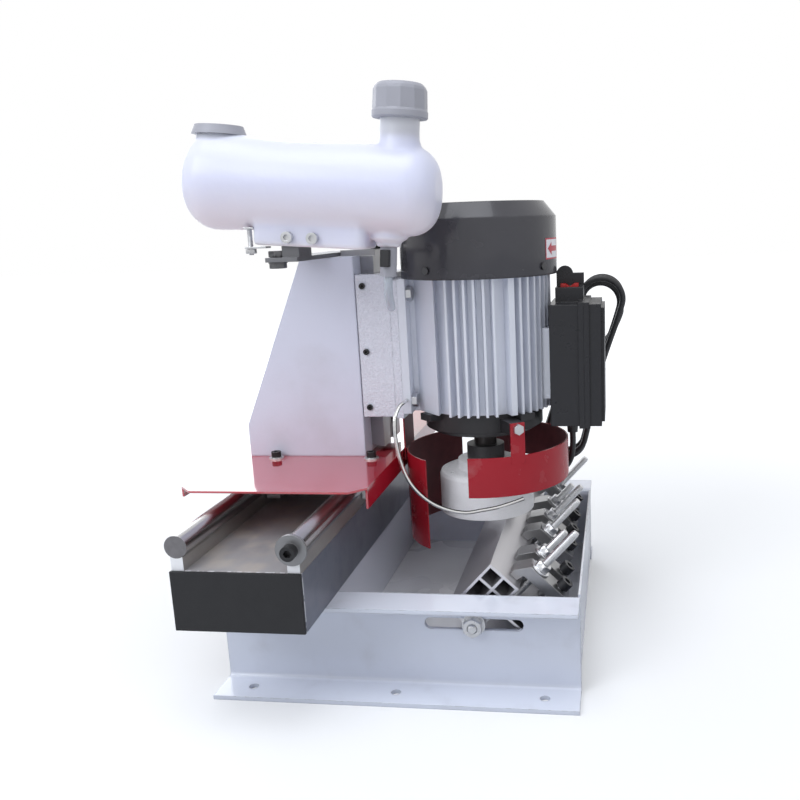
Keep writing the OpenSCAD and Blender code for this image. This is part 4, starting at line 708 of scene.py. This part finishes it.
def hex_nut(made, across, bore, height, place, skin=0):
    """A hex nut with both ends chamfered, or a bolt head where the bore is nothing."""
    corner = across / math.cos(math.pi / 6)
    low_ring, top_ring = sides(6, across, 0, across * 1.02), sides(6, across, height, across * 1.02)
    bevel = 0.07 * height
    rings = [low_ring, sides(6, across, bevel, corner), sides(6, across, height - bevel, corner), top_ring]
    if bore:
        rings = [circle(bore, height)] + [circle(bore, 0)] + rings + [circle(bore, height)]
    loft(made, rings, place, (not bore, not bore), skin)


def slab(made, low_corner, high_corner, place=Matrix.Identity(4), skin=0):
    (x0, y0, z0), (x1, y1, z1) = low_corner, high_corner
    loft(made, [[(x0, y0, z), (x1, y0, z), (x1, y1, z), (x0, y1, z)] for z in (z0, z1)], place, skin=skin)


dark_zinc = Finish("dark_zinc", (0.16, 0.16, 0.165), 0.35, 0.9)
dark_zinc.set(Base_Color=dark_zinc.noise(150, 4).mix((0.1, 0.1, 0.105), (0.2, 0.2, 0.205)))
dark_zinc.relief(dark_zinc.noise(700, 2), 0.00004, 0.0005)
fixings = bmesh.new()
hook_at = Matrix.Translation((-0.1202, -0.133, 0))
thread(fixings, 0.0025, 0.404, 0.4285, hook_at)
hex_nut(fixings, 0.0042, 0, 0.0042, hook_at @ Matrix.Translation((0, 0, 0.4052)))
strip_left, strip_front, strip_back = -0.1235, -0.139, -0.127
for strip_right, strip_low, strip_top in ((-0.104, 0.4096, 0.4113), (-0.1145, 0.4268, 0.4284)):
    slab(fixings, (strip_left, strip_front, strip_low), (strip_right, strip_back, strip_top))
bar_bolt = Matrix.Translation((-0.0992, -0.1255, 0))
for head_low in (0.3911, 0.4012):
    hex_nut(fixings, 0.0068, 0, 0.0056, bar_bolt @ Matrix.Translation((0, 0, head_low)), skin=1)
loft(fixings, [circle(0.0085, 0.3958), circle(0.0085, 0.3969)], bar_bolt, skin=1)
piece("tank_fixings", fixings, "carriage", (zinc, dark_zinc))


# Switch box: a black moulded case and lid on the motor's side, with a hooded red rocker on top.
# The plastic has a fine grain and a low shine, and the rocker is glossier.
box_plastic = Finish("box_plastic", (0.02, 0.02, 0.023), 0.4, Specular_IOR_Level=0.35)
box_plastic.set(Roughness=0.22 + 0.14 * box_plastic.noise(50, 4))
box_plastic.relief(box_plastic.noise(1600, 2), 0.0001, 0.0016)
dress(box_plastic, "switch_box", "box_cover")
red_plastic = Finish("red_plastic", (0.5, 0.012, 0.012), 0.25)
red_plastic.set(Roughness=0.2 + 0.15 * red_plastic.noise(120, 3))
red_plastic.relief(red_plastic.noise(900, 2), 0.00005, 0.0008)
dress(red_plastic, "rocker_switch")


# Power cord: black mains flex that bows down from a gland under the switch box.
# The spare length is wound into a hank of long loops behind the box, and the plug hangs from its end.
cord_skin = Finish("cord_skin", (0.018, 0.018, 0.02), 0.42)
cord_skin.set(Roughness=0.36 + 0.2 * cord_skin.noise(90, 3))
cord_skin.relief(cord_skin.noise(1400, 2), 0.00012)
plug_skin = Finish("plug_skin", (0.02, 0.02, 0.022), 0.5)
plug_skin.set(Roughness=0.42 + 0.2 * plug_skin.noise(60, 4))
plug_skin.relief(plug_skin.noise(2200, 2), 0.0001, 0.0008)
dress(plug_skin, "cord_gland", "power_plug")

flex_d = 0.0065
box_corner = Vector((0.1375, 0.005, 0.222))
gland = box_corner + Vector((0.018, 0.028, -0.022))
hank_middle = box_corner + Vector((0.0275, 0.071, 0.035))
hank_tilt, hank_lean = math.radians(15), math.radians(5)
fold_r, run, waist, loose = 0.022, 0.164, 0.004, 0.0015
wrap = flex_d + 0.0014
fold_n, run_n = 8, 6
turn_n = 2 * (fold_n + run_n)
first = fold_n // 2
last = 3 * turn_n + first + run_n + fold_n


def hank_bow(z):
    s = 2 * z / run
    return waist * (1 - s * s) ** 2


def hank_fold(angle, r, z):
    return r * math.cos(math.radians(angle)), z + r * math.sin(math.radians(angle))


def hank_turn(k, r):
    h, q = run / 2, fold_n / 2
    up, over, down = q + run_n, q + run_n + fold_n, q + 2 * run_n + fold_n
    if k < q:
        return hank_fold(270 - 90 * k / q, r, -h)
    if k < up:
        z = -h + run * (k - q) / run_n
        return hank_bow(z) - r, z
    if k < over:
        return hank_fold(180 - 180 * (k - up) / fold_n, r, h)
    if k < down:
        z = h - run * (k - over) / run_n
        return r - hank_bow(z), z
    return hank_fold(360 - 90 * (k - down) / q, r, -h)


def hank_point(i):
    t = i / turn_n
    x0, z0 = hank_turn(i % turn_n, fold_r + loose * math.sin(math.radians(200 * t)))
    z0 += 2 * loose * math.sin(math.radians(130 * t))
    x = x0 * math.cos(hank_tilt) + z0 * math.sin(hank_tilt)
    z = z0 * math.cos(hank_tilt) - x0 * math.sin(hank_tilt)
    y = wrap * (i - first) / turn_n
    return hank_middle + Vector((x, y * math.cos(hank_lean) - z * math.sin(hank_lean),
                                 y * math.sin(hank_lean) + z * math.cos(hank_lean)))


hank = [hank_point(first + 0.25 * i) for i in range(4 * (last - first) + 1)]
hank_in = hank[0] + flex_d * (hank_point(first) - hank_point(first + 1)).normalized()
hank_out = hank[-1] + flex_d * (hank_point(last) - hank_point(last - 1)).normalized()
gland_l, lead_sag = 0.014, 0.03
lead_top = gland - Vector((0, 0, gland_l))
side = hank_in - lead_top
bow = [lead_top + Vector((side.x * (1 - math.cos(a)) / 2, side.y * (1 - math.cos(a)) / 2,
                          side.z * a / math.pi - lead_sag * math.sin(a)))
       for a in (math.radians(30 * k) for k in range(7))]
away = (hank_out - hank[-1]).normalized()
plug_end = hank_out + Vector((-0.034, 0.022, -0.082))
tail = [hank_out, hank_out + 0.008 * away, hank_out + Vector((-0.007, 0.006, -0.024)),
        hank_out + Vector((-0.017, 0.013, -0.040)), hank_out + Vector((-0.027, 0.018, -0.054)),
        plug_end + Vector((0.0005, 0, 0.012)), plug_end]
route = smooth_run([gland] + bow, 6)[:-1] + hank + smooth_run(tail, 6)
flex_curve = bpy.data.curves.new("power_cord", "CURVE")
flex_curve.dimensions = "3D"
flex_curve.bevel_depth = flex_d / 2
flex_curve.bevel_resolution = 4
strand = flex_curve.splines.new("POLY")
strand.points.add(len(route) - 1)
for point, place in zip(strand.points, route):
    point.co = (*place, 1)
flex = bpy.data.objects.new("power_cord", flex_curve)
scene.collection.objects.link(flex)
flex_curve.materials.append(cord_skin.material)
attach(flex, "head")
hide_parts("cord_lead", "cord_hank", "cord_tail")
flex_length = sum((b - a).length for a, b in zip(route, route[1:]))

hank_turned = Matrix.Rotation(hank_lean, 4, "X") @ Matrix.Rotation(hank_tilt, 4, "Y")
tie_middle = Matrix.Translation(hank_middle) @ hank_turned
snug = flex_d / 2 + 0.0004
tie_half = fold_r - waist + loose + snug
tie_near, tie_far = -snug, wrap * (last - first) / turn_n + snug
tie = bmesh.new()
tie_deep = (tie_far - tie_near) / 2
band = tie_middle @ Matrix.Translation((0, (tie_near + tie_far) / 2, 0))
loops = [cushion(-tie_half - t, tie_half + t, tie_deep + t, 0.0036 + t, z)
         for t, z in ((0, -0.0046), (0.0008, -0.005), (0.0018, -0.005), (0.0024, -0.0044), (0.0024, 0.0044),
                      (0.0018, 0.005), (0.0008, 0.005), (0, 0.0046), (0, -0.0046))]
loft(tie, loops, band, (False, False))
slab(tie, (hank_middle.x - 0.012, 0.045, hank_middle.z - 0.005),
     (hank_middle.x - 0.001, hank_middle.y + tie_near - 0.001, hank_middle.z + 0.005))
piece("hank_tie", tie, "head", (plug_skin,), ("cord_tie",))


# Knife bar: a hollow aluminium extrusion with a knife face and a ledge slotted for the clamp studs.
# Fine drawing lines run along it.
bar_metal = Finish("bar_metal", (0.64, 0.63, 0.65), 0.32, 0.85)
drawn = bar_metal.noise(700, 2, (1, 0.02, 1))
bar_metal.set(Base_Color=bar_metal.noise(20, 4, (1, 0.1, 1)).mix((0.58, 0.57, 0.59), (0.7, 0.69, 0.71)),
              Roughness=0.3 + 0.1 * drawn)
bar_metal.relief(drawn, 0.000012, 0.0006)
dress(bar_metal, "knife_rail")


# Pivot bolts: zinc bolts in the end frames that the knife bar slides and tips on.
# Each has a plain washer and a chamfered nut outside its frame.
bar_x, bar_z, bar_turn = 0.0885, 0.1214, math.radians(43)
bar_at = Matrix.Translation((bar_x, 0, bar_z)) @ Matrix.Rotation(bar_turn, 4, "Y")
pivot = bar_at @ Vector((0.0266, 0, -0.0526))
pivot_r, shank_in, shank_out, thread_out = 0.005, 0.13, 0.159, 0.171
frame_out, nut_in = 0.1592, 0.1611
bolts = bmesh.new()
for sense in (-1, 1):
    at = Matrix.Translation(pivot) @ Matrix.Rotation(math.radians(-90 * sense), 4, "X")
    loft(bolts, [circle(pivot_r, shank_in), circle(pivot_r, shank_out)], at)
    thread(bolts, pivot_r, shank_out, thread_out, at, 0.0015)
    loft(bolts, [circle(0.0051, frame_out), circle(0.0106, frame_out), circle(0.011, 0.1596),
                 circle(0.011, 0.1608), circle(0.0106, nut_in), circle(0.0051, nut_in)], at, (False, False))
    hex_nut(bolts, 0.0082, 0.0048, 0.008, at @ Matrix.Translation((0, 0, nut_in)))
piece("pivot_bolt_pair", bolts, "knife_slide", (zinc,), ("pivot_bolts",))


# Clamps: machined steel straps with a black screw in the heel, each on a zinc stud from the ledge slot.
# The studs are cut threads, and a washer and a chamfered nut hold each strap down.
strap_steel = Finish("strap_steel", (0.4, 0.4, 0.41), 0.35, 0.95)
out_of_face = strap_steel.node("VectorMath", {"operation": "DOT_PRODUCT"},
                               {0: strap_steel.node("TexCoord", out="Object"),
                                1: (math.sin(bar_turn), 0, math.cos(bar_turn))}, out="Value")
face_level = bar_x * math.sin(bar_turn) + bar_z * math.cos(bar_turn)
strap_top, nut_low = 0.0191, 0.0211
is_head = (out_of_face - face_level).step(strap_top, strap_top + 0.0004)
bare_strap = strap_steel.noise(45, 5).mix((0.27, 0.27, 0.275), (0.42, 0.42, 0.43))
strap_steel.set(Base_Color=is_head.mix(bare_strap, (0.025, 0.025, 0.028)), Metallic=0.95 - 0.5 * is_head,
                Roughness=0.26 + 0.22 * strap_steel.noise(160, 4))
strap_steel.relief(strap_steel.noise(600, 3), 0.00006, 0.0008)
dress(strap_steel, *(f"clamp_{i}" for i in range(1, 7)))

studs, nuts = bmesh.new(), bmesh.new()
stud_x, stud_r, heel_low, heel_top, heel_half = 0.041, 0.004, -0.025, -0.02, 0.0065
stud_ys = (-0.13, -0.092, -0.028, 0.016, 0.064, 0.126)
stud_tops = (0.07, 0.052, 0.066, 0.068, 0.05, 0.07)
for y, top_z in zip(stud_ys, stud_tops):
    at = bar_at @ Matrix.Translation((stud_x, y, 0))
    slab(studs, (-heel_half, -heel_half, heel_low), (heel_half, heel_half, heel_top), at)
    thread(studs, stud_r, heel_top, top_z, at)
    loft(nuts, [circle(0.0042, strap_top), circle(0.0096, strap_top), circle(0.01, 0.0194),
                circle(0.01, 0.0207), circle(0.0096, nut_low), circle(0.0042, nut_low)], at, (False, False))
    hex_nut(nuts, 0.0065, 0.0038, 0.0065, at @ Matrix.Translation((0, 0, nut_low)))
piece("threaded_studs", studs, "knife_bar", (zinc,), ("clamp_studs",))
piece("clamp_hex_nuts", nuts, "knife_bar", (zinc,), ("clamp_nuts",))
